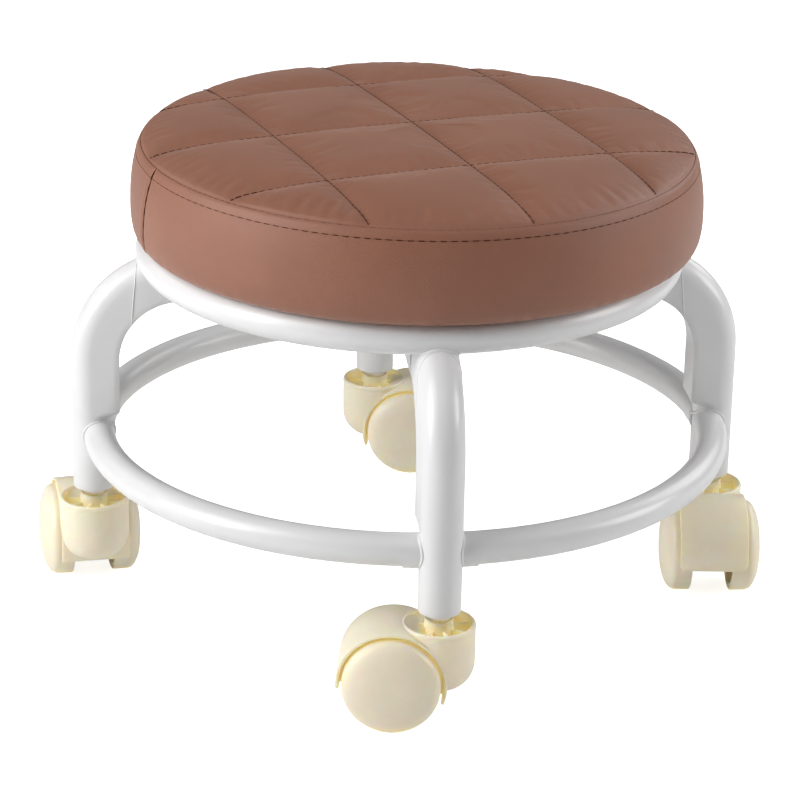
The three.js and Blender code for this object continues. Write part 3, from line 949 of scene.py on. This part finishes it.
# smooth, repeatable ups and downs along a line or round a circle
def ripple(t, seed, waves):
    rng = random.Random(seed)
    total = np.zeros_like(t)
    for frequency in waves:
        total = total + rng.uniform(0.5, 1.0) * np.sin(frequency * t + rng.uniform(0, 2 * math.pi))
    return total / len(waves)


def rollShare(rho):
    share = np.clip((rho - cushion["rollStart"]) / (cushion["rimRadius"] - cushion["rollStart"]), 0, 1)
    power = cushion["rollPower"]
    return np.power(np.clip(1 - share ** power, 0, 1), 1 / power)


def bell(distance, width):
    return np.exp(-(distance / width) ** 2)


def turnFrom(theta, turn):
    return (theta - turn + math.pi) % (2 * math.pi) - math.pi


# creases that run out square to a line of stitches, and fade with distance from it
tuck = {
    "height": 0.5 * mm,
    "reach": 6 * mm,
    "start": 1.2 * mm,
    "waves": (620, 830, 1070),
    "patches": (41, 67),
}


def tucksAt(distance, along, seed):
    fade = np.exp(-distance / tuck["reach"]) * (1 - np.exp(-distance / tuck["start"]))
    patches = np.clip(ripple(along, seed + 50, tuck["patches"]) + 0.2, 0, 1)
    return fade * patches * ripple(along, seed, tuck["waves"])


# gathers along the rim, deepest between the quilting lines at the front
rimGathers = {
    "height": 0.55 * mm,
    "radius": 137 * mm,
    "width": 8 * mm,
    "deepest": math.radians(247),
    "deepWidth": 0.22,
    "waves": (71, 97, 113),
    "patches": (3, 5, 8),
}


def gathersAt(rho, theta):
    near = bell(rho - rimGathers["radius"], rimGathers["width"])
    front = bell(turnFrom(theta, rimGathers["deepest"]), rimGathers["deepWidth"])
    patches = 0.25 + 0.4 * np.clip(ripple(theta, 12, rimGathers["patches"]) + 0.2, 0, 1) + 0.9 * front
    return near * patches * ripple(theta, 11, rimGathers["waves"])


# the height of the top panel; puffed=False gives the surface that the quilting lines lie on
def topHeight(x, y, puffed=True):
    cx, cy = cushion["centre"]
    rho = np.hypot(x - cx, y - cy)
    share = rho / cushion["rimRadius"]
    lean = cushion["lean"] * (x - cx)
    stitched = cushion["stitchZ"] - cushion["stitchDrop"] * share ** 2
    roll = rollShare(rho)
    if not puffed:
        return cushion["rimZ"] + (stitched - cushion["rimZ"]) * roll + lean
    u, v = quiltAxes(x, y)
    du, dv = nearestLine(u), nearestLine(v)
    crown = cushion["crownZ"] - cushion["crownDrop"] * share ** 3
    uneven = ripple(u * 40 + v * 23, 3, (1, 1.7)) * ripple(v * 45 - u * 12, 4, (1, 1.6))
    crown = crown + cushion["unevenness"] * uneven
    puffed = stitched + (crown - stitched) * puff(du) * puff(dv)
    height = cushion["rimZ"] + (puffed - cushion["rimZ"]) * roll
    theta = np.arctan2(y - cy, x - cx)
    height = height + rimGathers["height"] * gathersAt(rho, theta)
    return height + tuck["height"] * (tucksAt(du, v, 21) + tucksAt(dv, u, 22)) + lean


# the side from the rim seam down and under to the hem: radius and height over the bottom, in millimetres
sideOutline = [
    (146.0, 50.2), (146.6, 50.0), (147.6, 48.3), (148.7, 45.3), (149.0, 44.0), (150.3, 38), (151.5, 29),
    (151.9, 19), (151.6, 11.5), (150.5, 6), (148.4, 2.4), (145.2, 0.5), (141, 0.05), (126, 0),
    (113.2, 0), (112.2, 0.3), (112, 1.1),
]
stripJoint = {
    "degrees": 195.9,
    "slope": 0.0012,  # how much the joint turns for each millimetre down
    "width": 1.0 * mm,
    "depth": 0.9 * mm,
    "ridge": 0.45 * mm,
    "ridgePlace": 2.6 * mm,
    "ridgeWidth": 1.8 * mm,
    "thread": 0.5 * mm,
}
# each fold: how far it stands out, its seed and waves, its middle height and its reach in millimetres
sideFolds = {"slack": (0.3 * mm, 31, (9, 14, 23), 24, 17), "pull": (0.3 * mm, 32, (61, 79, 97), 3, 4)}
hemPleats = {"height": 0.5 * mm, "within": 127, "waves": (53, 71, 88)}


# the turn at which the strip's own joint lies at a height, in millimetres over the bottom
def jointTurn(drop):
    return math.radians(stripJoint["degrees"]) - stripJoint["slope"] * (24 - drop)


# a smooth line through the outline's points, with a place at every step along it
def smoothOutline(points, step):
    dense = []
    for i in range(len(points) - 1):
        before = np.array(points[max(i - 1, 0)])
        a, b = np.array(points[i]), np.array(points[i + 1])
        after = np.array(points[min(i + 2, len(points) - 1)])
        length = np.linalg.norm(b - a)
        tangentA = (b - before) * length / (length + np.linalg.norm(a - before))
        tangentB = (after - a) * length / (length + np.linalg.norm(after - b))
        count = max(1, int(round(length / step)))
        for k in range(count):
            t = k / count
            h1, h2 = 2 * t ** 3 - 3 * t ** 2 + 1, -2 * t ** 3 + 3 * t ** 2
            h3, h4 = t ** 3 - 2 * t ** 2 + t, t ** 3 - t ** 2
            dense.append(h1 * a + h2 * b + h3 * tangentA + h4 * tangentB)
    dense.append(np.array(points[-1]))
    return dense


# rows of points from the middle of the top out, down the side and under, and how far along each row lies
def cushionRows(rings, segments, sideStep):
    cx, cy = cushion["centre"]
    theta = 2 * math.pi * np.arange(segments) / segments
    rows, marks = [], []
    for i in range(1, rings + 1):
        rho = cushion["rimRadius"] * (1 - (1 - i / rings) ** 1.12)
        x, y = cx + rho * np.cos(theta), cy + rho * np.sin(theta)
        rows.append(np.stack([x, y, topHeight(x, y)], axis=1))
        marks.append(rho)
    outline = smoothOutline(sideOutline, sideStep)
    for i in range(1, len(outline)):
        radius, drop = outline[i]
        marks.append(marks[-1] + float(np.linalg.norm(outline[i] - outline[i - 1])) * mm)
        rho = radius * mm + np.zeros(segments)
        for height, seed, waves, middle, reach in sideFolds.values():
            rho = rho + height * ripple(theta, seed, waves) * bell(drop - middle, reach)
        if drop > 2:
            beside = turnFrom(theta, jointTurn(drop)) * radius * mm
            ridge = bell(beside + stripJoint["ridgePlace"], stripJoint["ridgeWidth"])
            rho = rho - stripJoint["depth"] * bell(beside, stripJoint["width"]) + stripJoint["ridge"] * ridge
        pleats = 0
        if radius < hemPleats["within"] and drop < 0.2:
            pleats = hemPleats["height"] * np.clip(ripple(theta, 33, hemPleats["waves"]), 0, 1)
        x, y = cx + rho * np.cos(theta), cy + rho * np.sin(theta)
        lean = cushion["lean"] * (x - cx) * min(1, max(0, drop / 30))
        rows.append(np.stack([x, y, cushion["bottom"] + drop * mm + lean + pleats], axis=1))
    return rows, marks


def cushionFaces(rowCount, segments):
    faces = [(0, 1 + j, 1 + (j + 1) % segments) for j in range(segments)]
    for i in range(rowCount - 1):
        a, b = 1 + i * segments, 1 + (i + 1) * segments
        faces += [(a + j, b + j, b + (j + 1) % segments, a + (j + 1) % segments) for j in range(segments)]
    return faces


# the middle of the top and then every row, closed with faces
def cushionSheet(name, shape):
    cx, cy = cushion["centre"]
    middle = (cx, cy, float(topHeight(np.array(cx), np.array(cy))))
    faces = cushionFaces(shape.shape[0], shape.shape[1])
    return outwardFaces(meshObject(name, [middle] + list(shape.reshape(-1, 3)), faces))


# the simulated sheet, coarser than the cover: how hard it is filled and the most a point may move
stuffing = {
    "rings": 56,
    "segments": 400,
    "sideStep": 2.6,
    "pressure": 3,
    "slack": -0.004,
    "frames": 20,
    "most": 0.55 * mm,
    "seamGrip": 2.2 * mm,
    "rimGrip": 3 * mm,
    "cloth": {
        "quality": 6,
        "mass": 0.6,
        "tension_stiffness": 40,
        "compression_stiffness": 20,
        "shear_stiffness": 15,
        "bending_stiffness": 8,
        "pin_stiffness": 5,
    },
}


# how firmly the vinyl is held: sewn along the quilting lines, the seams and the hem
def heldFast(rows, marks):
    rim = cushion["rimRadius"]
    held = []
    for row, mark in zip(rows, marks):
        u, v = quiltAxes(row[:, 0], row[:, 1])
        onLine = bell(np.minimum(nearestLine(u), nearestLine(v)), stuffing["seamGrip"])
        onSeam = bell(mark - rim, stuffing["rimGrip"])
        under = 1.0 if mark > rim else 0.0
        held.append(np.clip(onLine + onSeam + under, 0, 1))
    return held


# cloth under pressure from the foam: what it moves by, row by row
def swelling():
    rows, marks = cushionRows(stuffing["rings"], stuffing["segments"], stuffing["sideStep"])
    shape = np.array(rows)
    sheet = cushionSheet("stuffing", shape)
    pins = sheet.vertex_groups.new(name="sewn")
    pins.add([0], 1.0, "REPLACE")
    for index, weight in enumerate(np.concatenate(heldFast(rows, marks))):
        pins.add([index + 1], float(weight), "REPLACE")
    cloth = sheet.modifiers.new("vinylOverFoam", "CLOTH")
    for setting, value in stuffing["cloth"].items():
        setattr(cloth.settings, setting, value)
    cloth.settings.use_pressure = True
    cloth.settings.uniform_pressure_force = stuffing["pressure"]
    cloth.settings.shrink_min = stuffing["slack"]
    cloth.settings.vertex_group_mass = "sewn"
    cloth.settings.effector_weights.gravity = 0
    cloth.collision_settings.use_collision = False
    cloth.point_cache.frame_end = stuffing["frames"]
    for step in range(1, stuffing["frames"] + 1):
        scene.frame_set(step)
    seen = sheet.evaluated_get(bpy.context.evaluated_depsgraph_get())
    moved = np.array([tuple(vertex.co) for vertex in seen.data.vertices])[1:].reshape(shape.shape) - shape
    scene.frame_set(1)
    drop(sheet)
    size = np.linalg.norm(moved, axis=2, keepdims=True)
    moved = moved * (np.tanh(size / stuffing["most"]) * stuffing["most"] / np.maximum(size, 1e-9))
    print("cushion stuffed, most", round(float(size.max()) * 1000, 2), "mm")
    return marks, moved


# the coarse sheet's movement read at the fine mesh's rows and turns
def spread(marks, moved, fineMarks, segments):
    coarse = moved.shape[1]
    at = np.arange(segments) * coarse / segments
    low = np.floor(at).astype(int)
    part = (at - low)[None, :, None]
    around = moved[:, low % coarse] * (1 - part) + moved[:, (low + 1) % coarse] * part
    rowAt = np.interp(fineMarks, marks, np.arange(len(marks)))
    below = np.clip(np.floor(rowAt).astype(int), 0, len(marks) - 2)
    share = (rowAt - below)[:, None, None]
    return around[below] * (1 - share) + around[below + 1] * share


def buildCover():
    segments = cushion["segments"]
    rows, marks = cushionRows(cushion["rings"], segments, cushion["sideStep"])
    shape = np.array(rows)
    shape = shape + spread(*swelling(), marks, segments)
    made = cushionSheet("cushionCover", shape)
    shell = made.modifiers.new("vinylThickness", "SOLIDIFY")
    shell.thickness = cushion["thickness"]
    shell.offset = -1
    return made, shape


# the foam fills the cover down to the board: its side, as radius and height over the bottom in millimetres
foamSide = ((146, 44), (148.2, 36), (149.3, 26), (149.4, 17), (148.9, 14.2), (148.2, 13.8), (60, 13.8))


def buildFoam():
    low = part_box("seat_foam")[0].z
    rings, segments, inset = 40, 160, 1.9 * mm
    cx, cy = cushion["centre"]
    theta = 2 * math.pi * np.arange(segments) / segments
    rows = []
    for i in range(1, rings + 1):
        rho = (cushion["rimRadius"] - 3 * mm) * i / rings
        x, y = cx + rho * np.cos(theta), cy + rho * np.sin(theta)
        rows.append(np.stack([x, y, topHeight(x, y, False) - inset], axis=1))
    for radius, height in foamSide:
        x, y = cx + radius * mm * np.cos(theta), cy + radius * mm * np.sin(theta)
        rows.append(np.stack([x, y, np.full(segments, max(cushion["bottom"] + height * mm, low))], axis=1))
    points = [(cx, cy, float(topHeight(np.array(cx), np.array(cy), False)) - inset)]
    points += [tuple(point) for row in rows for point in row] + [(cx, cy, low)]
    faces = cushionFaces(len(rows), segments)
    last = 1 + (len(rows) - 1) * segments
    faces += [(len(points) - 1, last + (j + 1) % segments, last + j) for j in range(segments)]
    return outwardFaces(meshObject("cushionFoam", points, faces))


# one stitch rises in the middle and dives in at its ends: place along it, thickness and lift, in threads
halfStitch = [(0, 0.7, -2.2), (0.1, 1.25, -0.5), (0.26, 0.9, 0.25)]
stitchShape = halfStitch + [(1 - t, size, lift) for t, size, lift in reversed(halfStitch)]


def stitchRows(start, end, up, thread):
    along = (end - start).normalized()
    across = along.cross(up).normalized()
    rise = across.cross(along).normalized()
    rows = []
    for t, size, lift in stitchShape:
        centre = start.lerp(end, t) + rise * lift * thread
        row = []
        for j in range(6):
            angle = 2 * math.pi * j / 6
            row.append(centre + (across * math.cos(angle) + rise * math.sin(angle)) * size * thread)
        rows.append(row)
    return rows


def stitchesObject(name, stitches):
    points, faces = [], []
    for start, end, up, thread in stitches:
        base = len(points)
        rows = stitchRows(start, end, up, thread)
        for row in rows:
            points += row
        for i in range(len(rows) - 1):
            for j in range(6):
                k = (j + 1) % 6
                low, high = base + i * 6, base + (i + 1) * 6
                faces.append((low + j, low + k, high + k, high + j))
        faces.append(tuple(base + j for j in reversed(range(6))))
        faces.append(tuple(base + (len(rows) - 1) * 6 + j for j in range(6)))
    return paint(outwardFaces(meshObject(name, points, faces)), darkThread)


quiltStitch = {
    "pitch": 4.2 * mm,
    "length": 3.5 * mm,
    "thread": 0.24 * mm,
    "lift": 0.45 * mm,  # how far the last stitches before the rim stand up
    "liftStart": 0.85,
}
# a seam's thread gets thinner by these shares at its front and back, and at its sides
stitchRow = {
    "radius": 148.8 * mm,
    "drop": 44.9 * mm,
    "pitch": 5.3 * mm,
    "length": 3.4 * mm,
    "thread": 0.27 * mm,
    "fade": (0, 0.45),
    "under": 0.07 * mm,
}
rimStitch = {"pitch": 4.2 * mm, "length": 4.1 * mm, "thread": 0.2 * mm, "fade": (0.62, 0)}


# the cover's surface as built, for putting stitches on it
def surfaceAt(shape, row, turn):
    segments = shape.shape[1]
    at = turn / (2 * math.pi) * segments
    low = int(math.floor(at))
    part = at - low
    return Vector(shape[row, low % segments] * (1 - part) + shape[row, (low + 1) % segments] * part)


def topSurface(x, y):
    return Vector((x, y, float(topHeight(np.array(x), np.array(y)))))


def surfaceUp(x, y):
    step = 1 * mm
    slopeX = (topHeight(x + step, y, False) - topHeight(x - step, y, False)) / (2 * step)
    slopeY = (topHeight(x, y + step, False) - topHeight(x, y - step, False)) / (2 * step)
    return Vector((-float(slopeX), -float(slopeY), 1)).normalized()


def quiltLineStitches():
    centre = Vector(cushion["centre"])
    reach = cushion["rimRadius"] - 0.6 * mm
    along = [Vector((math.cos(turn), math.sin(turn))) for turn in (quiltAngle, quiltAngle + math.pi / 2)]
    stitches = []
    for direction, sideways in (along, along[::-1]):
        for offset in quiltLines:
            t = -2 * reach
            while t < 2 * reach:
                ends = []
                for s in (t, t + quiltStitch["length"]):
                    ends.append(Vector(cushion["quiltCentre"]) + sideways * offset + direction * s)
                # a stitch that crosses the rim is cut short there
                for end, inward in ((1, -direction), (0, direction)):
                    while (ends[end] - centre).length > reach and (ends[1] - ends[0]).length > 1 * mm:
                        ends[end] = ends[end] + inward * 0.4 * mm
                if all((place - centre).length < reach for place in ends):
                    up = surfaceUp(ends[0].x, ends[0].y)
                    out = max(0, (ends[1] - centre).length / reach - quiltStitch["liftStart"])
                    lift = quiltStitch["lift"] * out / (1 - quiltStitch["liftStart"])
                    a, b = [topSurface(place.x, place.y) + up * lift for place in ends]
                    stitches.append((a, b, up, quiltStitch["thread"]))
                t += quiltStitch["pitch"]
    return stitches


def seamStitches(shape, row, radius, seam, up):
    count = int(2 * math.pi * radius / seam["pitch"])
    stitches = []
    for i in range(count):
        turn = 2 * math.pi * i / count
        a = surfaceAt(shape, row, turn)
        b = surfaceAt(shape, row, turn + seam["length"] / radius)
        faded = 1 - seam["fade"][0] * math.sin(turn) ** 2 - seam["fade"][1] * math.cos(turn) ** 2
        outward = Vector((math.cos(turn), math.sin(turn), up)).normalized()
        stitches.append((a, b, outward, seam["thread"] * faded))
    return stitches


staple = {"count": 28, "radius": 119 * mm, "width": 10 * mm, "wire": 0.55 * mm}


# staples that hold the hem to the board, seen from below
def buildStaples():
    cx, cy = cushion["centre"]
    pieces = []
    rng = random.Random(5)
    for i in range(staple["count"]):
        turn = 2 * math.pi * (i + rng.uniform(-0.2, 0.2)) / staple["count"]
        radius = staple["radius"] + rng.uniform(-2, 2) * mm
        lean = turn + math.pi / 2 + rng.uniform(-0.2, 0.2)
        flat = (cx + radius * math.cos(turn), cy + radius * math.sin(turn))
        centre = Vector((*flat, cushion["bottom"] + 0.1 * mm))
        along = Vector((math.cos(lean), math.sin(lean), 0)) * (staple["width"] / 2)
        deep = Vector((0, 0, 1.2 * mm))
        bend = along.normalized() * 0.5 * mm
        line = [centre - along + deep, centre - along, centre - along + bend, centre + along - bend]
        line[1].z += 0.4 * mm
        line += [centre + along + Vector((0, 0, 0.4 * mm)), centre + along + deep]
        pieces.append(bead("staple", line, staple["wire"], closed=False, sides=6))
    made = paint(joined("hemStaples", pieces), zincSteel)
    finishPiece(made, "frame", "zinc_steel")


def buildCushion():
    cover, shape = buildCover()
    paint(cover, brownVinyl)
    finishPiece(cover, "frame", "brown_vinyl", "seat_cover")
    foam = paint(buildFoam(), paleFoam)
    finishPiece(foam, "frame", "pale_foam", "seat_foam")
    finishPiece(stitchesObject("quiltStitches", quiltLineStitches()), "frame", "brown_vinyl")
    heights = shape[:, 0, 2] - cushion["bottom"]
    outward = range(cushion["rings"], len(heights))
    row = min(outward, key=lambda i: abs(heights[i] - stitchRow["drop"]))
    stitches = seamStitches(shape, row, stitchRow["radius"], stitchRow, 0.2)
    finishPiece(stitchesObject("stripStitches", stitches), "frame", "brown_vinyl")
    count = cushion["segments"] // 2
    under = [surfaceAt(shape, row, 2 * math.pi * i / count) for i in range(count)]
    thread = paint(bead("stripThread", under, stitchRow["under"], sides=6), darkThread)
    finishPiece(thread, "frame", "brown_vinyl")
    stitches = seamStitches(shape, cushion["rings"] - 1, cushion["rimRadius"], rimStitch, 0.6)
    finishPiece(stitchesObject("rimStitches", stitches), "frame", "brown_vinyl")
    joint = []
    for row in outward:
        if 4 * mm < heights[row] < 49 * mm:
            joint.append(surfaceAt(shape, row, jointTurn(heights[row] / mm)))
    thread = paint(bead("jointThread", joint, stripJoint["thread"], closed=False, sides=6), darkThread)
    finishPiece(thread, "frame", "brown_vinyl")
    buildStaples()


buildCushion()
print("cushion built and stitched")


# the underside: spacers, screws, the board and the dust cover
def hexagon(across):
    return lambda angle: across / math.cos((angle + math.pi / 6) % (math.pi / 3) - math.pi / 6)


def screwTurned():
    low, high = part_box("seat_screw_right")[0].z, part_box("seat_screw_right")[1].z
    head, shank, socketDepth = 5.5 * mm, 3 * mm, 2.2 * mm
    headTop = low + 3.6 * mm
    profile = [(0.2 * mm, low + socketDepth), (hexagon(1.9 * mm), low + socketDepth)]
    profile += [(hexagon(2.0 * mm), low)]
    profile += rounded((head - 2 * mm, low), (head - 0.2 * mm, low + 0.2 * mm), (head, low + 2 * mm), 5)
    profile += [(head, headTop), (shank, headTop)]
    z = headTop + 16 * mm
    profile.append((shank, z - 0.5 * mm))
    while z < high - 1.5 * mm:
        profile += [(shank - 0.45 * mm, z), (shank, z + 0.5 * mm)]
        z += 1 * mm
    profile += [(shank - 0.8 * mm, high), (0.2 * mm, high)]
    return turned("screw", profile, 48)


def spacerTurned():
    low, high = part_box("seat_spacer_right")[0].z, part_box("seat_spacer_right")[1].z
    outer, inner, edge = 7 * mm, 3.4 * mm, 0.5 * mm
    profile = [(inner, low + edge), (inner + edge, low), (outer - edge, low), (outer, low + edge)]
    profile += [(outer, high - edge), (outer - edge, high), (inner + edge, high), (inner, high - edge)]
    return turned("spacer", profile, 40, closed=True)


def buildUnderside():
    screw = paint(screwTurned(), zincSteel)
    spacer = paint(spacerTurned(), blackNylon)
    for side in turns:
        centre = middleOf(f"seat_screw_{side}")
        place = Matrix.Translation((centre.x, centre.y, 0))
        placePiece(screw, "boltScrew", side, place, "frame", "zinc_steel", "seat_screw")
        placePiece(spacer, "spacerBush", side, place, "frame", "black_nylon", "seat_spacer")
        paint(frame["nodes"][f"tee_nut_{side}"], zincSteel)
    drop(screw)
    drop(spacer)
    paint(frame["nodes"]["seat_board"], plywood)
    softEdges(frame["nodes"]["seat_board"], 1 * mm)
    paint(frame["nodes"]["seat_dust_cover"], blackFleece)


buildUnderside()
print("underside built")


# lights stand round the stool: azimuth is from the camera's side, to the right; power in watts
studio = {
    "floorColour": (0.93, 0.93, 0.93),
    "floorGlow": 0.8,
    "distance": 2.0,
    "aim": 0.15,
    "lights": [
        {"name": "lowLeft", "azimuth": -75, "height": 18, "size": 1.2, "power": 24.5},
        {"name": "midLeft", "azimuth": -70, "height": 40, "size": 1.2, "power": 14.7},
        {"name": "lowRight", "azimuth": 80, "height": 20, "size": 1.0, "power": 16.0},
        {"name": "midRight", "azimuth": 65, "height": 45, "size": 1.2, "power": 3.6},
        {"name": "backRight", "azimuth": 125, "height": 30, "size": 1.2, "power": 12.5},
        {"name": "backLeft", "azimuth": -125, "height": 30, "size": 1.2, "power": 4.0},
        {"name": "front", "azimuth": 0, "height": 55, "size": 1.0, "power": 3.2},
        {"name": "above", "azimuth": 180, "height": 87, "size": 1.8, "power": 2.8},
    ],
}


def floorSheet(name, glow):
    size = 6.0
    corners = [(-size, -size, 0), (size, -size, 0), (size, size, 0), (-size, size, 0)]
    sheet = meshObject(name, corners, [(0, 1, 2, 3)])
    material, shader = newMaterial(name, studio["floorColour"], 0.9, specular=0.1)
    shader.inputs["Emission Color"].default_value = (1, 1, 1, 1)
    shader.inputs["Emission Strength"].default_value = glow
    # from underneath the sheet is clear, so that the stool's underside can be seen
    facing = addNode(material, "ShaderNodeNewGeometry")
    clear = addNode(material, "ShaderNodeBsdfTransparent")
    either = addNode(material, "ShaderNodeMixShader")
    wire(material, facing.outputs["Backfacing"], either.inputs["Fac"])
    wire(material, shader.outputs["BSDF"], either.inputs[1])
    wire(material, clear.outputs["BSDF"], either.inputs[2])
    wire(material, either.outputs["Shader"], material.node_tree.nodes["Material Output"].inputs["Surface"])
    paint(sheet, material)
    return sheet


# the camera sees a sheet lit up to white, and the stool gets its light from a plain one
def buildFloor():
    seen = floorSheet("floor", studio["floorGlow"])
    seen.visible_diffuse = False
    seen.visible_glossy = False
    seen.visible_transmission = False
    seen.visible_shadow = False
    bounce = floorSheet("floorBounce", 0)
    bounce.location.z = -0.5 * mm
    bounce.visible_camera = False


def areaLight(name, azimuth, height, size, power):
    data = bpy.data.lights.new(name, "AREA")
    data.shape = "DISK"
    data.size = size
    data.energy = power
    lamp = bpy.data.objects.new(name, data)
    scene.collection.objects.link(lamp)
    around, up = math.radians(azimuth), math.radians(height)
    flat = math.cos(up)
    away = Vector((flat * math.sin(around), -flat * math.cos(around), math.sin(up)))
    lamp.location = away * studio["distance"] + Vector((0, 0, studio["aim"]))
    lamp.rotation_euler = away.to_track_quat("Z", "Y").to_euler()


def buildLights():
    for light in studio["lights"]:
        areaLight(**light)
    world = bpy.data.worlds.new("studioWorld")
    scene.world = world
    world.use_nodes = True
    backdrop = world.node_tree.nodes["Background"]
    backdrop.inputs["Color"].default_value = (1, 1, 1, 1)
    world.cycles_visibility.diffuse = False
    world.cycles_visibility.glossy = False
    world.cycles_visibility.transmission = False
    scene.view_settings.view_transform = "Standard"
    scene.view_settings.look = "None"


view = {
    "place": (-0.17936, -1.58547, 0.73630),
    "azimuth": -6.34,
    "elevation": 21.58,
    "roll": 1.26,
    "lens": 141.6,
}


def buildCamera():
    azimuth, elevation, roll = (math.radians(view[key]) for key in ("azimuth", "elevation", "roll"))
    flat = math.cos(elevation)
    back = Vector((math.sin(azimuth) * flat, -math.cos(azimuth) * flat, math.sin(elevation)))
    right = Vector((math.cos(azimuth), math.sin(azimuth), 0))
    up = back.cross(right)
    rolledRight = right * math.cos(roll) + up * math.sin(roll)
    rolledUp = up * math.cos(roll) - right * math.sin(roll)
    data = bpy.data.cameras.new("camera")
    data.lens = view["lens"]
    data.sensor_width = 36
    data.clip_end = 20
    camera = bpy.data.objects.new("camera", data)
    scene.collection.objects.link(camera)
    columns = Matrix((rolledRight, rolledUp, back)).transposed().to_4x4()
    camera.matrix_world = Matrix.Translation(view["place"]) @ columns
    scene.camera = camera


buildFloor()
buildLights()
buildCamera()
print("studio and camera placed")
